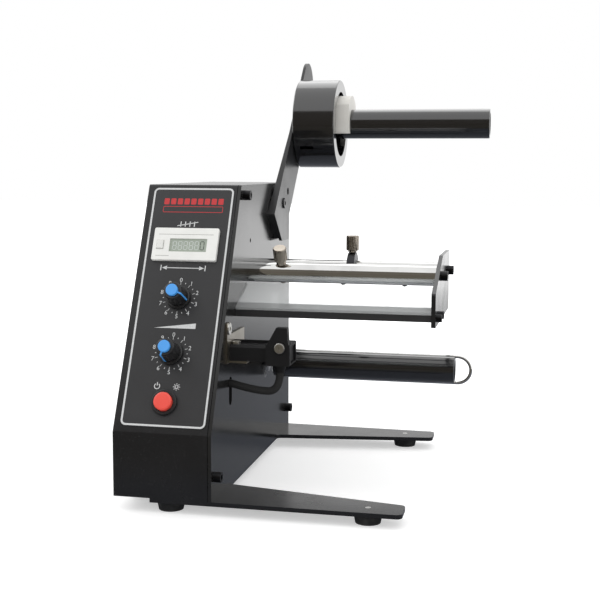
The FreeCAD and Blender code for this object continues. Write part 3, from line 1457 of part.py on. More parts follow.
def make_sensor_bracket():
    body = new_body("sensor_bracket")
    low = ("body_width", "bracket_y", "bracket_low")
    block(body, "bracket_leg", low, ("bracket_thick", "bracket_deep", "bracket_tall"))
    low = ("body_width", "bracket_y", "(bracket_low + bracket_tall)")
    block(body, "bracket_tab", low, ("bracket_thick", "bracket_tab_deep", "bracket_tab_tall"))
    low = ("body_width", "rail_y", "bracket_low")
    block(body, "bracket_foot", low, ("bracket_shelf", "rail_deep", "bracket_thick"))
    place = ("body_width", "bracket_screw_y", "bracket_screw_z")
    hole = "(small_screw_radius + screw_slack)"
    rod(body, "bracket_eye", place, "x", hole, "bracket_thick", cut=True)
    rod(body, "shelf_eye", rail_screw_place("bracket_low"), "z", hole, "bracket_thick", cut=True)


def rail_screw_place(level):
    """Returns a point on the axis of the screw that holds the rail on its shelf."""
    return ("(body_width + bracket_thick + rail_screw_in)", "(rail_y + rail_screw_back)", level)


def make_sensor_rail():
    body = new_body("sensor_rail")
    low = ("(body_width + bracket_thick)", "rail_y", RAIL_LOW)
    bar = block(body, "rail_bar", low, ("rail_long", "rail_deep", "rail_tall"))
    soften(body, "rail_bevel", "rail_edge", [on_both(on_face(bar, "y", far=False), on_face(bar, "z"))], flat=True)
    low = ("(body_width + bracket_thick)", "(rail_y + rail_deep - rail_lip_thick)", RAIL_TOP)
    block(body, "rail_lip", low, ("rail_long", "rail_lip_thick", "rail_lip_tall"))
    hole = "(small_screw_radius + screw_slack)"
    rod(body, "rail_eye", rail_screw_place(RAIL_LOW), "z", hole, "rail_tall", cut=True)


def make_sensor_screws():
    body = new_body("sensor_screws")
    seat = ("(body_width + bracket_thick)", "bracket_screw_y", "bracket_screw_z")
    shank = ("small_screw_radius", "(bracket_thick + side_thick)")
    socket = ("socket_radius", "bracket_socket_deep")
    screw(body, "bracket_screw", seat, "x", True, ("bracket_head_radius", "bracket_head_tall"), shank, socket)
    shank = ("small_screw_radius", "(rail_tall + bracket_thick)")
    head = ("small_head_radius", "small_head_tall")
    screw(body, "rail_screw", rail_screw_place(RAIL_TOP), "z", True, head, shank, ("small_socket_radius", "socket_deep"))


def make_sensor_head():
    body = new_body("sensor_head")
    deep = "(head_front + rail_deep + head_back)"
    low = ("head_x", HEAD_FRONT, HEAD_LOW)
    head = block(body, "head_block", low, ("head_long", deep, f"({HEAD_TOP} - {HEAD_LOW})"))
    soften(body, "head_edges", "head_round", [on_face(head, "x")])
    outline(
        body,
        "head_finger",
        "XZ_Plane",
        [
            ("(head_x + finger_root_in)", HEAD_TOP),
            ("(head_x + finger_root_out)", HEAD_TOP),
            ("(head_x + finger_tip_out)", f"({HEAD_TOP} + finger_tall)"),
            ("(head_x + finger_tip_in)", f"({HEAD_TOP} + finger_tall)"),
        ],
        HEAD_FRONT,
        "finger_deep",
    )
    place = ("(head_x + relief_across)", f"({HEAD_FRONT} + relief_back)", f"({HEAD_LOW} - relief_tall)")
    taper(body, "head_relief", place, "relief_tip_radius", "relief_radius", "relief_tall")
    low = ("head_x", "(rail_y - rail_slack)", f"({RAIL_LOW} - rail_slack)")
    way = ("head_long", "(rail_deep + 2 * rail_slack)", "(rail_tall + 2 * rail_slack)")
    block(body, "rail_way", low, way, cut=True)
    low = ("head_x", "(rail_y + rail_deep - rail_lip_thick - rail_slack)", RAIL_TOP)
    way = ("head_long", "(rail_lip_thick + 2 * rail_slack)", "(rail_lip_tall + head_above + hole_spare)")
    block(body, "lip_way", low, way, cut=True)
    wall = "(head_front - rail_slack)"
    rod(body, "clamp_hole", clamp_place(), "y", "(clamp_shank + clamp_slack)", wall, cut=True)


def clamp_place():
    """Returns where the clamp screw sits on the front of the sensor's head."""
    return ("(head_x + clamp_in)", HEAD_FRONT, f"({RAIL_LOW} + clamp_level)")


def make_clamp_screw():
    body = new_body("clamp_screw")
    head = ("clamp_radius", "clamp_tall")
    shank = ("clamp_shank", "(head_front - rail_slack)")
    cap = screw(body, "clamp", clamp_place(), "y", False, head, shank, ("clamp_socket_radius", "socket_deep"))
    soften(body, "clamp_edge", "reset_round", [rim(cap, far=False)])


def make_rear_ring():
    body = new_body("rear_ring", at=("rear_ring_x",) + ROD_SPOTS[1])
    start = ("(-rear_ring_wide / 2)", "0", "0")
    collar = rod(body, "collar", start, "x", "rear_ring_radius", "rear_ring_wide")
    soften(body, "collar_edges", "ring_edge", [rim(collar), rim(collar, far=False)])
    rod(body, "collar_bore", start, "x", "(rear_rod_radius + ring_slack)", "rear_ring_wide", cut=True)
    rod(body, "collar_hole", ("0", "0", "0"), "z", "(thumb_shank + thumb_slack)", "rear_ring_radius", cut=True)


def make_thumb_screw(name, place, tilt, start, seat, lift, tall):
    """Makes a knurled thumb screw whose head stands off its seat on a neck."""
    body = new_body(name, at=place, lean=tilt)
    head_low = f"({seat} + {lift})"
    rod(body, f"{name}_shank", ("0", "0", start), "z", "thumb_shank", f"({head_low} - {start})")
    neck = f"({seat} + thumb_gap)"
    rod(body, f"{name}_neck", ("0", "0", neck), "z", "thumb_neck_radius", f"({head_low} - {neck})")
    head = rod(body, f"{name}_head", ("0", "0", head_low), "z", "thumb_radius", tall)
    soften(body, f"{name}_edges", "thumb_edge", [rim(head), rim(head, far=False)], flat=True)
    spot = ("(thumb_radius + thumb_groove_out)", "0", head_low)
    groove = rod(body, f"{name}_groove", spot, "z", "thumb_groove", tall, cut=True)
    around(body, groove, "z", THUMB_GROOVES)


def make_thumb_screws():
    place = (f"(body_width + {CROSS_SPOTS[0]})",) + ROD_SPOTS[0]
    sizes = ("front_rod_radius", "front_thumb_lift", "front_thumb_tall")
    make_thumb_screw("front_rod_screw", place, CROSS_TILT, CROSS_LOW, *sizes)
    place = ("rear_ring_x",) + ROD_SPOTS[1]
    sizes = ("rear_ring_radius", "rear_thumb_lift", "rear_thumb_tall")
    make_thumb_screw("rear_ring_screw", place, None, "(rear_rod_radius + thumb_gap)", *sizes)


def lead_wire():
    """Joins the lead's straight runs with tangent arcs and prints each radius."""
    spots = [FreeCAD.Vector(*spot) for spot in LEAD_ROUTE]
    edges = []
    here = spots[0]
    for index, radius in enumerate(LEAD_BENDS, start=1):
        corner = spots[index]
        back = (spots[index - 1] - corner).normalize()
        ahead = (spots[index + 1] - corner).normalize()
        turn = math.pi - back.getAngle(ahead)
        reach = radius * math.tan(turn / 2)
        middle = corner + (back + ahead).normalize() * (radius / math.cos(turn / 2) - radius)
        edges.append(Part.LineSegment(here, corner + back * reach).toShape())
        edges.append(Part.Arc(corner + back * reach, middle, corner + ahead * reach).toShape())
        here = corner + ahead * reach
        print("lead bend", index, "radius", radius, "turn", round(math.degrees(turn)))
    edges.append(Part.LineSegment(here, spots[-1]).toShape())
    return Part.Wire(edges)


def make_sensor_cable():
    radius = size("lead_radius")
    path = lead_wire()
    start = FreeCAD.Vector(*LEAD_ROUTE[0])
    section = Part.Wire([Part.makeCircle(radius, start, FreeCAD.Vector(*LEAD_ROUTE[1]) - start)])
    cable = doc.addObject("Part::Feature", "sensor_cable")
    cable.Label = "sensor_cable"
    cable.Shape = path.makePipeShell([section], True, False)
    drift = cable.Shape.Volume / (math.pi * radius**2 * path.Length)
    print("lead volume over section times length", round(drift, 4))
    put(cable, (f"-{MIDDLE_X}", f"-{MIDDLE_Y}", "0"))
    subparts.append(cable)


make_base_plate()
make_rubber_feet()
make_case_screws()
make_side_plate()
make_left_plate()
make_front_cover()
make_rear_cover()
make_tie_bars()
make_side_screws()
make_panel_overlay()
make_counter_case()
make_counter_bezel()
make_counter_lens()
make_counter_button()
make_dial_pots()
make_pot_nuts()
for dial in DIALS:
    make_dial(dial)
make_switch()
make_gear_box()
make_drive_motor()
make_motor_screws()
make_drive_shaft()
make_rewind_roller()
make_wire_clip()
make_board()
make_power_inlet()
make_roll_arm()
make_arm_screws()
make_arm_spacers()
make_spindle()
make_core_drum()
make_hub_saddle()
make_guide_rods()
make_set_screws()
make_plate_screws()
make_outer_plate()
make_peel_edge()
make_sensor_bracket()
make_sensor_rail()
make_sensor_screws()
make_sensor_head()
make_clamp_screw()
make_sensor_cable()
make_rear_ring()
make_thumb_screws()
doc.recompute()

for item in doc.Objects:
    if "Invalid" in item.State or "Error" in item.State:
        raise ValueError(f"{item.Label} failed to build")
for item in subparts:
    if item.Shape.isNull() or not item.Shape.isValid():
        raise ValueError(f"{item.Label} has no sound shape")

os.makedirs("parts", exist_ok=True)
for item in subparts:
    item.Shape.exportStep(f"parts/{item.Label}.step")
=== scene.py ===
"""Dresses the desk label dispenser: finishes, printed marks, the sensor's lead and a plain studio."""

from __future__ import annotations

import logging
import math
from dataclasses import dataclass
from enum import Enum

import bmesh
import bpy
from mathutils import Matrix, Vector

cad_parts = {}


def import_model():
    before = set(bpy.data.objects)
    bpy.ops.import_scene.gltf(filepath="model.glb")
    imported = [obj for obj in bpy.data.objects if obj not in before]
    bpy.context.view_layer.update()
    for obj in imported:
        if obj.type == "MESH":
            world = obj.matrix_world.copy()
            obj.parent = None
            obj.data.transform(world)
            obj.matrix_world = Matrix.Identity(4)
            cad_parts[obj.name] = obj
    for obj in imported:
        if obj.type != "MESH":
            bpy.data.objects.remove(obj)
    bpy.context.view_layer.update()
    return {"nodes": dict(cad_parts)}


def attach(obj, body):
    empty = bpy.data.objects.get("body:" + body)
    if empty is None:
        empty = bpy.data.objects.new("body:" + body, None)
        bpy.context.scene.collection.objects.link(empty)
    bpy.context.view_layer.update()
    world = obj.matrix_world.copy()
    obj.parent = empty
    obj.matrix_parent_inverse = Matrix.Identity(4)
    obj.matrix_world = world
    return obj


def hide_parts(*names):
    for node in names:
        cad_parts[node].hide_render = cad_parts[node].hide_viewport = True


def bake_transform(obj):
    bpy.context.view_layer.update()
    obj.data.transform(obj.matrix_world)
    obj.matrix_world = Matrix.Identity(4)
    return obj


LOG = logging.getLogger("label_dispenser")
MM = 0.001
WHITE = (1.0, 1.0, 1.0)
BLACK = (0.0, 0.0, 0.0)

Colour = tuple[float, float, float]
Spot = tuple[float, float]


class Value:
    """A node's output, on which arithmetic adds Math nodes."""

    def __init__(self, nodes: Nodes, socket: bpy.types.NodeSocket) -> None:
        """Wraps the socket of one output."""
        self.nodes = nodes
        self.socket = socket

    def __add__(self, other: Value | float) -> Value:
        """This value and another, added."""
        return self.nodes.maths("ADD", self, other)

    __radd__ = __add__

    def __mul__(self, other: Value | float) -> Value:
        """This value times another."""
        return self.nodes.maths("MULTIPLY", self, other)

    __rmul__ = __mul__

    def __sub__(self, other: Value | float) -> Value:
        """This value less another."""
        return self.nodes.maths("SUBTRACT", self, other)

    def __rsub__(self, other: Value | float) -> Value:
        """Another value less this one."""
        return self.nodes.maths("SUBTRACT", other, self)

    def __or__(self, other: Value | float) -> Value:
        """The greater of this value and another."""
        return self.nodes.maths("MAXIMUM", self, other)


class Nodes:
    """A node tree that is filled by one call for each node."""

    def __init__(self, tree: bpy.types.NodeTree) -> None:
        """Takes the tree of a material or of the world."""
        self.tree = tree

    def maths(self, operation: str, *values: Value | float) -> Value:
        """Adds one Math node."""
        return self.add("ShaderNodeMath", {"operation": operation}, dict(enumerate(values)))

    def feed(self, socket: bpy.types.NodeSocket, value: Value | float | tuple) -> None:
        """Links a value to a socket, or sets the socket to a number or colour."""
        if isinstance(value, Value):
            self.tree.links.new(value.socket, socket)
        elif isinstance(value, tuple) and socket.type == "RGBA":
            socket.default_value = (*value, 1.0)
        else:
            socket.default_value = value

    def add(
        self, kind: str, settings: dict | None = None, inputs: dict | None = None, out: int | str = 0
    ) -> Value:
        """Adds one node.

        Args:
            kind: The node's type.
            settings: Its own settings.
            inputs: A value, number or colour for each socket, by name or number.
            out: The output that is wanted.

        Returns:
            That output.
        """
        node = self.tree.nodes.new(kind)
        for name, setting in (settings or {}).items():
            setattr(node, name, setting)
        for name, value in (inputs or {}).items():
            self.feed(node.inputs[name], value)
        return Value(self, node.outputs[out])


class Shader(Nodes):
    """A material with one Principled surface."""

    def __init__(self, name: str, fixed: dict[str, float | Colour]) -> None:
        """Makes the material and sets the sockets that are the same all over it."""
        self.material = bpy.data.materials.new(name)
        self.material.use_nodes = True
        super().__init__(self.material.node_tree)
        self.surface = self.tree.nodes["Principled BSDF"].inputs
        for socket, value in fixed.items():
            self.feed(self.surface[socket], value)

    def place(self, stretch: tuple[float, float, float] = WHITE) -> Value:
        """The point on the piece in metres, stretched along each axis."""
        spot = self.add("ShaderNodeTexCoord", out="Object")
        return self.add("ShaderNodeVectorMath", {"operation": "MULTIPLY"}, {0: spot, 1: stretch})

    def part(self, axis: int, of: str = "Object") -> Value:
        """One part of the point on the piece, or of the way that its surface faces."""
        spot = self.add("ShaderNodeTexCoord", out=of)
        return self.add("ShaderNodeSeparateXYZ", None, {0: spot}, axis)

    def noise(self, grain: float, detail: float = 2.0, stretch: tuple[float, float, float] = WHITE) -> Value:
        """Soft noise whose lumps are about grain millimetres across.

        Args:
            grain: The size of one lump in millimetres.
            detail: How many finer layers lie on it.
            stretch: How much finer it is along each axis.

        Returns:
            The noise, from zero to one.
        """
        inputs = {"Vector": self.place(stretch), "Scale": 1.0 / (grain * MM), "Detail": detail}
        return self.add("ShaderNodeTexNoise", None, inputs)

    def ramp(self, value: Value, low: float, high: float) -> Value:
        """The value spread so that low is zero and high is one, and held there."""
        return self.add("ShaderNodeMapRange", None, {"Value": value, "From Min": low, "From Max": high})

    def tint(self, mask: Value, base: Value | Colour, other: Value | Colour) -> Value:
        """A colour that goes from base to other with the mask."""
        return self.add("ShaderNodeMix", {"data_type": "RGBA"}, {0: mask, 6: base, 7: other}, 2)

    def relief(self, height: Value, deep: float, strength: float = 1.0) -> Value:
        """A normal from a height that is deep millimetres from zero to one."""
        inputs = {"Height": height, "Distance": deep * MM, "Strength": strength}
        return self.add("ShaderNodeBump", None, inputs)

    def give(self, **sockets: Value) -> None:
        """Links values to the surface, with _ in place of a space in each name."""
        for name, value in sockets.items():
            self.feed(self.surface[name.replace("_", " ")], value)


def shade(colour: Colour, factor: float) -> Colour:
    """The colour made lighter or darker by a factor."""
    return tuple(min(part * factor, 1.0) for part in colour)


@dataclass(frozen=True)
class Finish:
    """A finish that one or more pieces share."""

    name: str
    colour: Colour
    rough: float = 0.4

    def material(self) -> bpy.types.Material:
        """The finish as a material, made once."""
        return bpy.data.materials.get(self.name) or self.make().material

    def make(self) -> Shader:
        """Makes the material's nodes."""
        raise NotImplementedError


@dataclass(frozen=True)
class Paint(Finish):
    """Gloss paint on sheet metal, with a faint ripple and hand marks."""

    rough: float = 0.13
    ripple: float = 0.012
    haze: float = 0.10
    streak: float = 0.04
    dust: Colour = (0.11, 0.11, 0.112)

    def make(self) -> Shader:
        """Makes the material's nodes."""
        shader = Shader(self.name, {"IOR": 1.5})
        smear = shader.ramp(shader.noise(38.0, 4.0), 0.42, 0.78)
        wipes = shader.ramp(shader.noise(9.0, 3.0, (1.0, 1.0, 0.12)), 0.5, 0.8)
        specks = shader.ramp(shader.noise(0.7, 1.0), 0.72, 0.78)
        smeared = shader.tint(smear, self.colour, shade(self.colour, 1.35))
        shader.give(
            Base_Color=shader.tint(specks * 0.35, smeared, self.dust),
            Roughness=smear * self.haze + wipes * self.streak + self.rough,
            Normal=shader.relief(shader.noise(1.6, 2.0), self.ripple),
        )
        return shader


@dataclass(frozen=True)
class Film(Finish):
    """Printed plastic film with a fine pebbled face."""

    rough: float = 0.36

    def make(self) -> Shader:
        """Makes the material's nodes."""
        shader = Shader(self.name, {"Specular IOR Level": 0.5})
        pebbles = shader.add(
            "ShaderNodeTexVoronoi", {"feature": "SMOOTH_F1"}, {"Vector": shader.place(), "Scale": 2600.0}
        )
        cloud = shader.noise(24.0, 4.0)
        shader.give(
            Base_Color=shader.tint(cloud, shade(self.colour, 0.85), shade(self.colour, 1.2)),
            Roughness=cloud * 0.12 + self.rough,
            Normal=shader.relief(pebbles, 0.035),
        )
        return shader


@dataclass(frozen=True)
class Plastic(Finish):
    """Moulded plastic with a sparked grain and slight unevenness of gloss."""

    grain: float = 0.5
    deep: float = 0.012
    coat: float = 0.0
    specular: float = 0.5

    def make(self) -> Shader:
        """Makes the material's nodes."""
        coat = {"Coat Weight": self.coat, "Coat Roughness": 0.06}
        fixed = {**coat, "IOR": 1.49, "Specular IOR Level": self.specular}
        shader = Shader(self.name, fixed)
        cloud = shader.noise(11.0, 3.0)
        scuffs = shader.ramp(shader.noise(3.0, 5.0, (1.0, 0.2, 1.0)), 0.6, 0.75)
        shader.give(
            Base_Color=shader.tint(cloud, shade(self.colour, 0.92), shade(self.colour, 1.08)),
            Roughness=cloud * 0.1 + scuffs * 0.06 + self.rough,
            Normal=shader.relief(shader.noise(self.grain, 2.0), self.deep),
        )
        return shader


class Lay(Enum):
    """The way that a metal's tool marks run, as a stretch along each axis."""

    ALONG = (0.02, 1.0, 1.0)
    ROUND = (1.0, 0.05, 0.05)
    NONE = (1.0, 1.0, 1.0)


@dataclass(frozen=True)
class Metal(Finish):
    """Bare or plated metal with tool marks."""

    lay: Lay = Lay.NONE
    mark: float = 0.35
    deep: float = 0.004
    streak: float = 0.12

    def make(self) -> Shader:
        """Makes the material's nodes."""
        shader = Shader(self.name, {"Metallic": 1.0})
        marks = shader.noise(self.mark, 3.0, self.lay.value)
        stain = shader.ramp(shader.noise(14.0, 4.0), 0.45, 0.8)
        shader.give(
            Base_Color=shader.tint(stain * 0.5 + marks * 0.25, self.colour, shade(self.colour, 0.72)),
            Roughness=marks * self.streak + stain * 0.06 + self.rough,
            Normal=shader.relief(marks, self.deep),
        )
        return shader


@dataclass(frozen=True)
class Rubber(Finish):
    """Moulded rubber with a dull bloom and caught dust."""

    rough: float = 0.62
    bloom: Colour = (0.07, 0.07, 0.068)

    def make(self) -> Shader:
        """Makes the material's nodes."""
        shader = Shader(self.name, {"Specular IOR Level": 0.35})
        bloom = shader.ramp(shader.noise(6.0, 5.0), 0.45, 0.8)
        shader.give(
            Base_Color=shader.tint(bloom * 0.5, self.colour, self.bloom),
            Roughness=bloom * 0.15 + self.rough,
            Normal=shader.relief(shader.noise(0.4, 3.0), 0.02),
        )
        return shader


@dataclass(frozen=True)
class ClearSheet(Finish):
    """Clear cast acrylic with hairline scratches, whose cut edges carry a painted glow: emission that stands
    in for the light they gather.
    """

    rough: float = 0.01
    glow: Colour = (0.62, 0.66, 0.80)

    def make(self) -> Shader:
        """Makes the material's nodes."""
        shader = Shader(self.name, {"Transmission Weight": 1.0, "IOR": 1.3, "Emission Strength": 1.0})
        # Painted light: faces that point neither up nor down emit the pale glow colour, as if lit through
        # the sheet.
        upright = shader.part(2, "Normal")
        edge = 1.0 - shader.ramp(upright * upright, 0.80, 0.90)
        hairs = shader.ramp(shader.noise(1.1, 3.0, (0.04, 1.0, 1.0)), 0.68, 0.72)
        haze = shader.noise(22.0, 3.0)
        shader.give(
            Base_Color=shader.tint(haze, self.colour, shade(self.colour, 0.97)),
            Roughness=hairs * 0.10 + haze * 0.02 + self.rough,
            Normal=shader.relief(hairs, 0.002),
            Emission_Color=shader.tint(edge, BLACK, self.glow),
        )
        return shader


@dataclass(frozen=True)
class Display(Finish):
    """The liquid crystal behind its window, a little uneven in tone."""

    rough: float = 0.2

    def make(self) -> Shader:
        """Makes the material's nodes."""
        shader = Shader(self.name, {"Coat Weight": 1.0, "Coat Roughness": 0.03})
        drift = shader.noise(16.0, 2.0)
        shader.give(
            Base_Color=shader.tint(drift, shade(self.colour, 0.88), shade(self.colour, 1.1)),
            Roughness=drift * 0.1 + self.rough,
            Normal=shader.relief(shader.noise(0.25, 1.0), 0.004),
        )
        return shader


@dataclass(frozen=True)
class Board(Finish):
    """A circuit board with copper tracks under its green mask."""

    rough: float = 0.3
    track: Colour = (0.05, 0.34, 0.12)

    def make(self) -> Shader:
        """Makes the material's nodes."""
        shader = Shader(self.name, {"Coat Weight": 0.4})
        cells = shader.add(
            "ShaderNodeTexVoronoi",
            {"feature": "DISTANCE_TO_EDGE"},
            {"Vector": shader.place(), "Scale": 160.0, "Randomness": 0.55},
        )
        tracks = 1.0 - shader.ramp(cells, 0.03, 0.06)
        shader.give(
            Base_Color=shader.tint(tracks, self.colour, self.track),
            Roughness=shader.noise(5.0) * 0.15 + self.rough,
            Normal=shader.relief(tracks, 0.04),
        )
        return shader


@dataclass(frozen=True)
class Ink(Finish):
    """Screen ink, slightly thin in places."""

    rough: float = 0.5
    thin: float = 0.82

    def make(self) -> Shader:
        """Makes the material's nodes."""
        shader = Shader(self.name, {"Specular IOR Level": 0.4})
        patches = shader.ramp(shader.noise(0.8, 3.0), 0.35, 0.7)
        shader.give(
            Base_Color=shader.tint(patches, shade(self.colour, self.thin), self.colour),
            Roughness=patches * 0.1 + self.rough,
            Normal=shader.relief(patches, 0.01),
        )
        return shader


BLACK_PAINT = Paint("gloss_black_paint", (0.012, 0.012, 0.013), 0.2)
SIDE_PAINT = Paint("side_plate_paint", (0.014, 0.014, 0.014), 0.16, 0.004, 0.06, 0.0)
ARM_PAINT = Paint("arm_paint", (0.020, 0.020, 0.021), 0.28, 0.01)
PANEL_FILM = Film("dark_grey_film", (0.030, 0.030, 0.032))
FOOT_RUBBER = Rubber("foot_rubber", (0.018, 0.018, 0.018))
ZINC = Metal("zinc_plate", (0.60, 0.60, 0.58), 0.3)
BLACK_OXIDE = Metal("black_oxide", (0.045, 0.045, 0.047), 0.36)
BRIGHT_STEEL = Metal("bright_steel", (0.66, 0.66, 0.65), 0.24, Lay.ROUND)
CHROME = Metal("drawn_chrome", (0.82, 0.82, 0.81), 0.04, Lay.ALONG, 0.5, 0.001, 0.04)
THUMB_STEEL = Metal("knurled_steel", (0.46, 0.41, 0.35), 0.16, Lay.NONE, 0.3, 0.003, 0.06)
NICKEL = Metal("dull_nickel", (0.47, 0.44, 0.38), 0.28)
SCREW_STEEL = Metal("stainless_screw", (0.74, 0.73, 0.69), 0.22, Lay.ROUND)
RING_BLACK = Metal("black_ring_steel", (0.06, 0.06, 0.065), 0.3, Lay.ROUND)
MOTOR_CAN = Metal("motor_can", (0.52, 0.52, 0.53), 0.32, Lay.ALONG)
BLACK_PLASTIC = Plastic("black_moulding", (0.016, 0.016, 0.017), 0.38)
SENSOR_BLACK = Plastic("dull_sensor_case", (0.010, 0.010, 0.011), 0.5, specular=0.3)
KNOB_PLASTIC = Plastic("black_knob", (0.014, 0.014, 0.015), 0.26, coat=0.2)
BAR_BLACK = Plastic("black_anodised_bar", (0.028, 0.028, 0.030), 0.3, 0.3, 0.004)
TUBE_BLACK = Plastic("gloss_black_tube", (0.006, 0.006, 0.007), 0.10, 1.5, 0.002, 1.0, 1.0)
BLUE_PLASTIC = Plastic("blue_cap_plastic", (0.075, 0.36, 0.86), 0.25, coat=0.2)
RED_PLASTIC = Plastic("red_button_plastic", (0.88, 0.085, 0.060), 0.26, coat=0.3)
PALE_PLASTIC = Plastic("pale_bezel_plastic", (0.86, 0.86, 0.83), 0.4)
GREY_PLASTIC = Plastic("pale_key_plastic", (0.80, 0.80, 0.77), 0.4)
WHITE_NYLON = Plastic("white_nylon", (0.84, 0.82, 0.77), 0.34)
SHEATH = Rubber("lead_sheath", (0.014, 0.014, 0.014), 0.5)
ACRYLIC = ClearSheet("clear_acrylic", (0.90, 0.94, 1.0))
CRYSTAL = Display("display_window", (0.78, 0.82, 0.79))
LAMINATE = Board("green_laminate", (0.012, 0.11, 0.035))
WHITE_INK = Ink("white_ink", (0.74, 0.75, 0.75))
RED_INK = Ink("red_ink", (0.62, 0.045, 0.05))
SEGMENT_INK = Ink("display_segment", (0.050, 0.060, 0.050))
GHOST_INK = Ink("resting_segment", (0.62, 0.66, 0.63))
RULE_INK = Ink("grey_rule_ink", (0.42, 0.42, 0.40))


@dataclass
class Place:
    """Turns the housing's own millimetres into the shared frame's metres."""

    middle_x: float = 119.5
    middle_y: float = 156.44966
    lip_top: float = 55.0
    setback: float = 81.0
    rise: float = 167.0

    @property
    def lean(self) -> float:
        """The panel's angle from upright."""
        return math.atan(self.setback / self.rise)

    def at(self, x: float, y: float, z: float) -> Vector:
        """A point given from the housing's left front corner on the table."""
        return Vector((x - self.middle_x, y - self.middle_y, z)) * MM

    def on_panel(self, across: float, up: float, out: float) -> Vector:
        """A point on the sloping panel.

        Args:
            across: Millimetres to the right of the housing's left face.
            up: Millimetres up the slope from the lip.
            out: Millimetres proud of the sheet.

        Returns:
            The point in metres.
        """
        sine, cosine = math.sin(self.lean), math.cos(self.lean)
        return self.at(across, up * sine - out * cosine, self.lip_top + up * cosine + out * sine)


@dataclass
class Artwork:
    """Flat marks drawn on the panel's slope and given a thickness of ink."""

    place: Place
    level: float
    thick: float = 0.05

    def __post_init__(self) -> None:
        """Starts with no marks."""
        self.mesh = bmesh.new()

    def patch(self, spots: list[Spot]) -> None:
        """Adds one filled shape with these corners."""
        self.mesh.faces.new([self.mesh.verts.new((across, up, 0.0)) for across, up in spots])

    def line(self, spots: list[Spot], width: float, closed: bool = False) -> None:
        """Adds a line of even width.

        Args:
            spots: The points that it goes through.
            width: Its width in millimetres.
            closed: Whether it ends where it starts.
        """
        count = len(spots)
        pairs = []
        for index, spot in enumerate(spots):
            before = spots[index - 1] if closed or index else spot
            after = spots[(index + 1) % count] if closed or index < count - 1 else spot
            way_in = Vector((spot[0] - before[0], spot[1] - before[1]))
            way_out = Vector((after[0] - spot[0], after[1] - spot[1]))
            ways = [way.normalized() for way in (way_in, way_out) if way.length]
            way = sum(ways, Vector((0.0, 0.0))).normalized()
            side = Vector((-way.y, way.x)) * (width / 2) / max(way.dot(ways[0]), 0.3)
            edges = [(spot[0] + s * side.x, spot[1] + s * side.y, 0.0) for s in (1, -1)]
            pairs.append([self.mesh.verts.new(edge) for edge in edges])
        for index in range(count if closed else count - 1):
            (left, right), (next_left, next_right) = pairs[index], pairs[(index + 1) % count]
            self.mesh.faces.new((left, right, next_right, next_left))

    def figure(self, character: str, centre: Spot, tall: float) -> None:
        """Adds one upright character of the built-in typeface.

        Args:
            character: The character.
            centre: Its middle on the panel.
            tall: Its height in millimetres.
        """
        curve = bpy.data.curves.new("figure", "FONT")
        curve.body = character
        curve.resolution_u = 6
        carrier = bpy.data.objects.new("figure", curve)
        outline = bpy.data.meshes.new_from_object(carrier)
        spots = [vertex.co for vertex in outline.vertices]
        low = Vector((min(s.x for s in spots), min(s.y for s in spots)))
        high = Vector((max(s.x for s in spots), max(s.y for s in spots)))
        scale = tall / (high.y - low.y)
        middle = (low + high) / 2
        moved = [(s - middle) * scale for s in (spot.to_2d() for spot in spots)]
        corners = [self.mesh.verts.new((centre[0] + s.x, centre[1] + s.y, 0.0)) for s in moved]
        for polygon in outline.polygons:
            self.mesh.faces.new([corners[index] for index in polygon.vertices])
        bpy.data.objects.remove(carrier)
        bpy.data.curves.remove(curve)
        bpy.data.meshes.remove(outline)

    def build(self, name: str, finish: Finish, slot: str, body: str = "frame") -> bpy.types.Object:
        """Makes the marks into one piece.

        Args:
            name: The piece's name.
            finish: Its finish.
            slot: The name of a material slot; not used.
            body: The body that it rides on.

        Returns:
            The piece.
        """
        bmesh.ops.remove_doubles(self.mesh, verts=self.mesh.verts, dist=0.001)
        bmesh.ops.recalc_face_normals(self.mesh, faces=self.mesh.faces)
        grown = bmesh.ops.extrude_face_region(self.mesh, geom=list(self.mesh.faces))["geom"]
        for part in grown:
            if isinstance(part, bmesh.types.BMVert):
                part.co.z = self.thick
        for vertex in self.mesh.verts:
            vertex.co = self.place.on_panel(vertex.co.x, vertex.co.y, self.level + vertex.co.z)
        bmesh.ops.recalc_face_normals(self.mesh, faces=self.mesh.faces)
        return finished(name, self.mesh, finish, body)


def finished(name: str, form: bmesh.types.BMesh, finish: Finish, body: str) -> bpy.types.Object:
    """Turns a built form into a piece that rides on a body.

    Args:
        name: The piece's name.
        form: Its form, in metres.
        finish: Its finish.
        body: The body that it rides on.

    Returns:
        The piece.
    """
    mesh = bpy.data.meshes.new(name)
    form.to_mesh(mesh)
    form.free()
    mesh.materials.append(finish.material())
    piece = bpy.data.objects.new(name, mesh)
    bpy.context.scene.collection.objects.link(piece)
    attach(piece, body)
    LOG.info("%s: %d faces, on %s", name, len(mesh.polygons), body)
    return piece


def arc(centre: Spot, radius: float, start: float, end: float, steps: int = 24) -> list[Spot]:
    """Points along an arc, with angles in degrees clockwise from straight up the panel."""
    turns = [math.radians(start + (end - start) * step / steps) for step in range(steps + 1)]
    return [(centre[0] + radius * math.sin(turn), centre[1] + radius * math.cos(turn)) for turn in turns]


def rounded(left: float, right: float, low: float, high: float, radius: float) -> list[Spot]:
    """Points round a rectangle with rounded corners."""
    corners = (
        ((right - radius, high - radius), 0.0),
        ((right - radius, low + radius), 90.0),
        ((left + radius, low + radius), 180.0),
        ((left + radius, high - radius), 270.0),
    )
    return [spot for centre, start in corners for spot in arc(centre, radius, start, start + 90.0, 8)]


@dataclass
class SubAssembly:
    """Something that dresses its own nodes and adds its own pieces."""

    nodes: dict[str, bpy.types.Object]
    place: Place

    def dress(self) -> None:
        """Gives every node of the sub-assembly its finish."""
        for finish, names in self.finishes().items():
            for name in names:
                mesh = self.nodes[name].data
                mesh.materials.clear()
                mesh.materials.append(finish.material())
                LOG.info("%s: %s", name, finish.name)

    def finishes(self) -> dict[Finish, tuple[str, ...]]:
        """The nodes that each finish goes on."""
        raise NotImplementedError

    def build(self) -> None:
        """Adds the pieces that the solids don't have."""


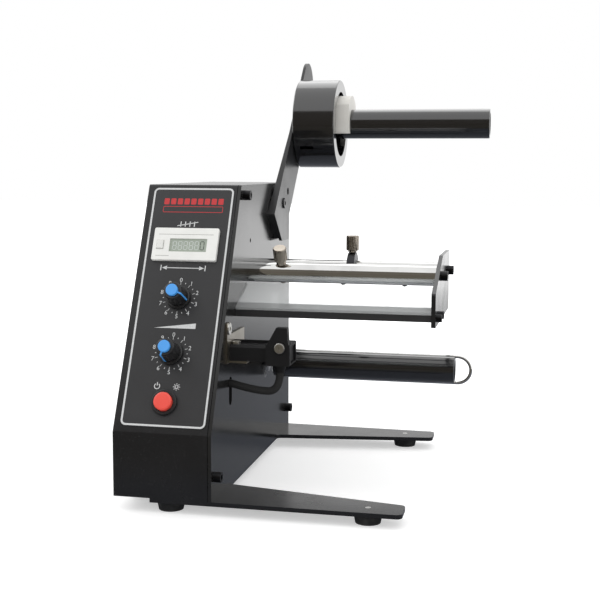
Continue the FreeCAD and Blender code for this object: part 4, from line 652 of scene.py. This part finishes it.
@dataclass
class Housing(SubAssembly):
    """The sheet metal case on its base plate, legs and feet."""

    def finishes(self) -> dict[Finish, tuple[str, ...]]:
        """The nodes that each finish goes on."""
        return {
            BLACK_PAINT: ("base_plate", "left_plate", "front_cover", "rear_cover"),
            SIDE_PAINT: ("side_plate",),
            FOOT_RUBBER: ("rubber_feet",),
            ZINC: ("case_screws",),
            BRIGHT_STEEL: ("tie_bars",),
            BLACK_OXIDE: ("side_screws",),
        }


@dataclass
class ControlPanel(SubAssembly):
    """The film, counter, dials and power button on the slope."""

    film_level: float = 0.38
    lens_level: float = 2.18
    bezel_level: float = 3.18
    middle: float = 34.4
    counter_up: float = 137.8
    dials: tuple[float, ...] = (97.8, 57.2)
    scale_radius: float = 13.6
    digit_tall: float = 3.0
    border: tuple[float, float, float, float] = (5.4, 64.4, 5.8, 182.0)
    border_round: float = 3.0
    border_wide: float = 1.3
    window: Spot = (36.7, 136.9)
    cell: Spot = (2.6, 6.2)
    cell_pitch: float = 4.1
    cells: int = 6

    def finishes(self) -> dict[Finish, tuple[str, ...]]:
        """The nodes that each finish goes on."""
        return {
            PANEL_FILM: ("panel_overlay",),
            PALE_PLASTIC: ("counter_bezel",),
            GREY_PLASTIC: ("counter_button",),
            CRYSTAL: ("counter_lens",),
            BLACK_PLASTIC: ("counter_case", "dial_pots", "switch_body", "switch_bezel"),
            KNOB_PLASTIC: ("length_knob", "speed_knob"),
            BLUE_PLASTIC: ("length_cap", "speed_cap"),
            RED_PLASTIC: ("power_button",),
            BRIGHT_STEEL: ("pot_nuts", "length_shaft", "speed_shaft"),
        }

    def build(self) -> None:
        """Adds the printed border, scales and signs, and the counter's figures."""
        self.border_line()
        for name, up in zip(("length", "speed"), self.dials):
            self.scale(f"{name}_scale", (self.middle, up))
        self.signs()
        self.label_strip()
        self.display()

    def border_line(self) -> None:
        """Prints the white line round the panel."""
        art = Artwork(self.place, self.film_level)
        art.line(rounded(*self.border, self.border_round), self.border_wide, closed=True)
        art.build("border_line", WHITE_INK, "panel_film")

    def scale(self, name: str, centre: Spot) -> None:
        """Prints ten numbered marks round a dial, with a short tick between each two.

        Args:
            name: The piece's name.
            centre: The dial's middle on the panel.
        """
        art = Artwork(self.place, self.film_level)
        for number in range(10):
            turn = number * 36.0
            near, far = (arc(centre, radius, turn, turn, 1)[0] for radius in (9.9, 12.0))
            art.line([near, far], 0.32)
            between = turn + 18.0
            near, far = (arc(centre, radius, between, between, 1)[0] for radius in (11.0, 11.9))
            art.line([near, far], 0.45)
            art.figure(str(number), arc(centre, self.scale_radius, turn, turn, 1)[0], self.digit_tall)
        art.build(name, WHITE_INK, "panel_film")

    def signs(self) -> None:
        """Prints plain signs for counting, length, speed and power."""
        art = Artwork(self.place, self.film_level)
        for step in range(4):
            art.line([(self.middle - 6.0 + step * 3.4, 152.2), (self.middle - 6.0 + step * 3.4, 156.2)], 0.7)
        art.line([(self.middle - 8.6, 152.8), (self.middle + 6.8, 155.8)], 0.6)
        level = 120.4
        art.line([(self.middle - 13.0, level), (self.middle + 13.0, level)], 0.6)
        for side in (-1, 1):
            tip = self.middle + side * 15.6
            art.patch([(tip, level), (tip - side * 3.6, level + 1.5), (tip - side * 3.6, level - 1.5)])
            art.line([(tip + side * 0.8, level - 2.1), (tip + side * 0.8, level + 2.1)], 0.7)
        art.patch([(self.middle - 15.0, 75.4), (self.middle + 15.0, 75.4), (self.middle + 15.0, 79.4)])
        art.line(arc((self.middle - 7.0, 33.4), 1.9, 35.0, 325.0), 0.6)
        art.line([(self.middle - 7.0, 33.8), (self.middle - 7.0, 36.2)], 0.6)
        art.line(arc((self.middle + 7.0, 33.4), 1.1, 0.0, 345.0), 0.5)
        for ray in range(8):
            turn = ray * 45.0
            near, far = (arc((self.middle + 7.0, 33.4), radius, turn, turn, 1)[0] for radius in (1.7, 2.6))
            art.line([near, far], 0.45)
        art.build("panel_signs", WHITE_INK, "panel_film")

    def label_strip(self) -> None:
        """Prints a plain row of labels on their strip near the panel's top."""
        art = Artwork(self.place, self.film_level)
        left, width, gap = 13.5, 3.9, 1.2
        for step in range(9):
            start = left + step * (width + gap)
            art.patch(rounded(start, start + width, 169.6, 174.4, 0.7))
        art.line(rounded(left, left + 9 * width + 8 * gap, 163.6, 168.0, 0.8), 0.45, closed=True)
        art.build("label_strip_sign", RED_INK, "panel_film")

    def display(self) -> None:
        """Draws the counter's resting figures, its lit nought and the fine rule over them."""
        ghosts = Artwork(self.place, self.lens_level)
        for step in range(self.cells - 1):
            self.segments(ghosts, step, "abcdefg")
        ghosts.build("resting_figures", GHOST_INK, "display_window")
        lit = Artwork(self.place, self.lens_level)
        self.segments(lit, self.cells - 1, "abcdef")
        lit.build("lit_figure", SEGMENT_INK, "display_window")
        rules = Artwork(self.place, self.bezel_level)
        for left, right, up in ((-20.5, 20.5, 7.2), (-21.0, -11.0, -9.2)):
            level = self.counter_up + up
            rules.line([(self.middle + left, level), (self.middle + right, level)], 0.35)
        rules.build("counter_rules", RULE_INK, "pale_bezel")

    def segments(self, art: Artwork, step: int, lit: str) -> None:
        """Draws one figure of the counter.

        Args:
            art: The marks that it goes into.
            step: The figure's place, from the left.
            lit: The letters of its segments, from the top clockwise, with g in the middle.
        """
        wide, tall = self.cell
        across = self.window[0] + (step - (self.cells - 1) / 2) * self.cell_pitch
        half, waist, gap = wide / 2, tall / 2, 0.25
        ends = {
            "a": ((-half, waist), (half, waist)),
            "b": ((half, waist), (half, 0.0)),
            "c": ((half, 0.0), (half, -waist)),
            "d": ((-half, -waist), (half, -waist)),
            "e": ((-half, 0.0), (-half, -waist)),
            "f": ((-half, waist), (-half, 0.0)),
            "g": ((-half, 0.0), (half, 0.0)),
        }
        for letter in lit:
            start, end = (Vector(spot) for spot in ends[letter])
            trim = (end - start).normalized() * gap
            spots = [(across + s.x, self.window[1] + s.y) for s in (start + trim, end - trim)]
            art.line(spots, 0.55)


@dataclass
class RollHolder(SubAssembly):
    """The arm, spindle, core drum and its white saddle."""

    def finishes(self) -> dict[Finish, tuple[str, ...]]:
        """The nodes that each finish goes on."""
        return {
            ARM_PAINT: ("roll_arm", "arm_screws"),
            BRIGHT_STEEL: ("arm_spacers",),
            ZINC: ("spindle_screw",),
            TUBE_BLACK: ("spindle_tube", "core_drum"),
            WHITE_NYLON: ("hub_saddle",),
        }


@dataclass
class WebPath(SubAssembly):
    """The guide rods and rings, outer plate and clear peel edge."""

    def finishes(self) -> dict[Finish, tuple[str, ...]]:
        """The nodes that each finish goes on."""
        return {
            CHROME: ("front_rod", "rear_rod"),
            THUMB_STEEL: ("front_rod_screw", "rear_ring_screw"),
            RING_BLACK: ("rear_ring",),
            ZINC: ("inner_screws",),
            BLACK_OXIDE: ("outer_screws", "rod_set_screws"),
            BLACK_PAINT: ("outer_plate",),
            BAR_BLACK: ("peel_bar",),
            ACRYLIC: ("liner_plate", "peel_plate"),
        }


@dataclass
class Drive(SubAssembly):
    """The gear motor, its roller and wire, and the electrics behind it."""

    def finishes(self) -> dict[Finish, tuple[str, ...]]:
        """The nodes that each finish goes on."""
        return {
            MOTOR_CAN: ("gear_box", "drive_motor"),
            ZINC: ("motor_screws",),
            BLACK_OXIDE: ("drive_shaft",),
            TUBE_BLACK: ("rewind_roller",),
            CHROME: ("wire_clip",),
            LAMINATE: ("control_board",),
            BLACK_PLASTIC: ("board_parts", "power_inlet"),
            WHITE_NYLON: ("board_posts",),
        }


@dataclass
class LabelSensor(SubAssembly):
    """The sensor on its rail, and its lead into the housing."""

    lead_points: tuple[tuple[float, float, float], ...] = (
        (106.3, 48.0, 92.2),
        (106.3, 48.0, 78.2),
        (88.0, 48.4, 78.4),
        (62.0, 49.2, 84.7),
        (42.0, 63.0, 73.0),
        (21.6, 63.0, 73.0),
    )
    lead_radius: float = 2.75
    still_x: float = 60.0
    carried_x: float = 104.5

    def finishes(self) -> dict[Finish, tuple[str, ...]]:
        """The nodes that each finish goes on."""
        return {
            SCREW_STEEL: ("sensor_screws", "clamp_screw"),
            NICKEL: ("sensor_bracket",),
            SENSOR_BLACK: ("sensor_rail", "sensor_head"),
        }

    def build(self) -> None:
        """Adds the lead as one smooth tube, in place of the hidden solid cable."""
        curve = bpy.data.curves.new("sensor_lead", "CURVE")
        curve.dimensions = "3D"
        curve.bevel_depth = self.lead_radius * MM
        curve.bevel_resolution = 6
        curve.use_fill_caps = True
        spline = curve.splines.new("NURBS")
        spline.points.add(len(self.lead_points) - 1)
        for point, spot in zip(spline.points, self.lead_points):
            point.co = (*self.place.at(*spot), 1.0)
        spline.use_endpoint_u = True
        spline.order_u = 3
        spline.resolution_u = 16
        carrier = bpy.data.objects.new("sensor_lead_line", curve)
        mesh = bpy.data.meshes.new_from_object(carrier)
        mesh.materials.clear()
        mesh.materials.append(SHEATH.material())
        mesh.shade_smooth()
        bpy.data.objects.remove(carrier)
        lead = bpy.data.objects.new("sensor_lead", mesh)
        bpy.context.scene.collection.objects.link(lead)
        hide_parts("sensor_cable")
        start, end = (self.place.at(x, 48.0, 84.0) for x in (self.still_x, self.carried_x))
        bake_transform(lead)
        LOG.info("sensor_lead: %d faces, between frame and sensor", len(mesh.polygons))


@dataclass
class Lamp:
    """One soft box over the table."""

    name: str
    spot: tuple[float, float, float]
    size: float
    level: float
    target: tuple[float, float, float] = (0.0, 0.0, 0.12)

    def light(self) -> None:
        """Hangs the lamp so that it gives its level, a share of plain light, at its target."""
        away = Vector(self.target) - Vector(self.spot)
        data = bpy.data.lights.new(self.name, "AREA")
        data.size = self.size
        data.energy = self.level * math.pi**2 * away.length_squared
        lamp = bpy.data.objects.new(self.name, data)
        lamp.location = self.spot
        lamp.rotation_euler = away.to_track_quat("-Z", "Y").to_euler()
        bpy.context.scene.collection.objects.link(lamp)
        LOG.info("%s: level %.2f", self.name, self.level)


@dataclass
class Studio:
    """The table, the light and the camera."""

    table_side: float = 12.0
    table_colour: Colour = (0.78, 0.78, 0.78)
    table_lift: float = 0.46
    far_lift: float = 0.45
    far_from: Spot = (0.30, 1.0)
    ambient: float = 0.97
    card_half: float = 1.5
    card_from: Spot = (-2.5, 1.3)
    card_level: float = 0.001
    under_from: Spot = (-0.27, -0.22)
    white_from: Spot = (0.40, 1.2)
    wall_from: float = -2.0
    wall_tall: float = 1.6
    dark_front: Colour = (0.10, 0.09, 0.07)
    dark_under: Colour = (0.10, 0.11, 0.135)
    dark_wall: Colour = (0.10, 0.085, 0.065)
    lens: float = 66.70
    camera_spot: tuple[float, float, float] = (0.159191, -0.857526, 0.235499)
    yaw: float = 11.92831
    pitch: float = 6.84526
    roll: float = 0.25484
    lamps: tuple[Lamp, ...] = (
        Lamp("key_box", (-1.15, 0.05, 1.25), 0.8, 0.20),
        Lamp("top_box", (0.10, 0.85, 1.3), 1.0, 0.14),
    )

    def build(self) -> None:
        """Sets up the whole studio."""
        self.table()
        self.cards()
        self.surround()
        for lamp in self.lamps:
            lamp.light()
        self.camera()
        bpy.context.scene.view_settings.view_transform = "Standard"

    def table(self) -> None:
        """Lays a wide pale table top under the machine."""
        form = bmesh.new()
        bmesh.ops.create_grid(form, x_segments=1, y_segments=1, size=self.table_side / 2)
        mesh = bpy.data.meshes.new("table_top")
        form.to_mesh(mesh)
        form.free()
        dull = {"Roughness": 0.9, "Specular IOR Level": 0.0, "Emission Strength": 1.0}
        shader = Shader("pale_table", {"Base Color": self.table_colour, **dull})
        across, back = shader.part(0), shader.part(1)
        far = shader.maths("SQRT", across * across + back * back)
        lift = shader.ramp(far, *self.far_from) * self.far_lift + self.table_lift
        shader.give(Emission_Color=seen(shader) * lift)
        mesh.materials.append(shader.material)
        table = bpy.data.objects.new("table_top", mesh)
        bpy.context.scene.collection.objects.link(table)

    def cards(self) -> None:
        """Lays a dark cloth on the table and a wall behind the camera, seen in reflections only."""
        wide, (near, far), low = self.card_half, self.card_from, self.card_level
        glowing = {"Base Color": BLACK, "Emission Strength": 1.0}
        cloth = Shader("dark_cloth", glowing)
        back = cloth.part(1)
        dark = cloth.tint(cloth.ramp(back, *self.under_from), self.dark_front, self.dark_under)
        cloth.give(Emission_Color=cloth.tint(cloth.ramp(back, *self.white_from), dark, WHITE))
        self.card(cloth, [(-wide, near, low), (wide, near, low), (wide, far, low), (-wide, far, low)])
        wall = Shader("dark_wall", {**glowing, "Emission Color": self.dark_wall})
        wide, near, tall = 2.0 * wide, self.wall_from, self.wall_tall
        self.card(wall, [(-wide, near, 0.0), (wide, near, 0.0), (wide, near, tall), (-wide, near, tall)])

    def card(self, shader: Shader, corners: list[tuple[float, float, float]]) -> None:
        """Adds one flat card that is seen in reflections only.

        Args:
            shader: Its finish, whose name it takes.
            corners: Its corners in metres.
        """
        form = bmesh.new()
        form.faces.new([form.verts.new(corner) for corner in corners])
        mesh = bpy.data.meshes.new(shader.material.name)
        form.to_mesh(mesh)
        form.free()
        mesh.materials.append(shader.material)
        card = bpy.data.objects.new(shader.material.name, mesh)
        for ray in ("camera", "diffuse", "transmission", "shadow", "volume_scatter"):
            setattr(card, f"visible_{ray}", False)
        bpy.context.scene.collection.objects.link(card)

    def surround(self) -> None:
        """Fills the room with even light, and shows as white behind the machine."""
        world = bpy.data.worlds.new("studio")
        world.use_nodes = True
        nodes = Nodes(world.node_tree)
        background = world.node_tree.nodes["Background"].inputs
        nodes.feed(background["Color"], WHITE)
        nodes.feed(background["Strength"], seen(nodes) * (1.0 - self.ambient) + self.ambient)
        bpy.context.scene.world = world

    def camera(self) -> None:
        """Stands the camera where the photograph was taken from."""
        yaw, pitch, roll = (math.radians(angle) for angle in (self.yaw, self.pitch, self.roll))
        ahead = Vector((-math.sin(yaw) * math.cos(pitch), math.cos(yaw) * math.cos(pitch), -math.sin(pitch)))
        level = Vector((math.cos(yaw), math.sin(yaw), 0.0))
        above = level.cross(ahead)
        right = math.cos(roll) * level + math.sin(roll) * above
        up = math.cos(roll) * above - math.sin(roll) * level
        data = bpy.data.cameras.new("photo_camera")
        data.lens = self.lens
        data.sensor_width = 36.0
        camera = bpy.data.objects.new("photo_camera", data)
        turn = Matrix((right, up, -ahead)).transposed().to_4x4()
        camera.matrix_world = Matrix.Translation(self.camera_spot) @ turn
        bpy.context.scene.collection.objects.link(camera)
        bpy.context.scene.camera = camera


def seen(nodes: Nodes) -> Value:
    """One for rays from the camera, a mirror or through glass, and else zero."""
    rays = ("Camera", "Glossy", "Transmission")
    camera, mirror, glass = (nodes.add("ShaderNodeLightPath", out=f"Is {ray} Ray") for ray in rays)
    return camera | mirror | glass


def main() -> None:
    """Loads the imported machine, dresses it and sets up the studio."""
    logging.basicConfig(level=logging.INFO, format="%(message)s")
    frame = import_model()
    place = Place()
    for kind in (Housing, ControlPanel, RollHolder, WebPath, Drive, LabelSensor):
        part = kind(frame["nodes"], place)
        part.dress()
        part.build()
    Studio().build()


if __name__ == "__main__":
    main()
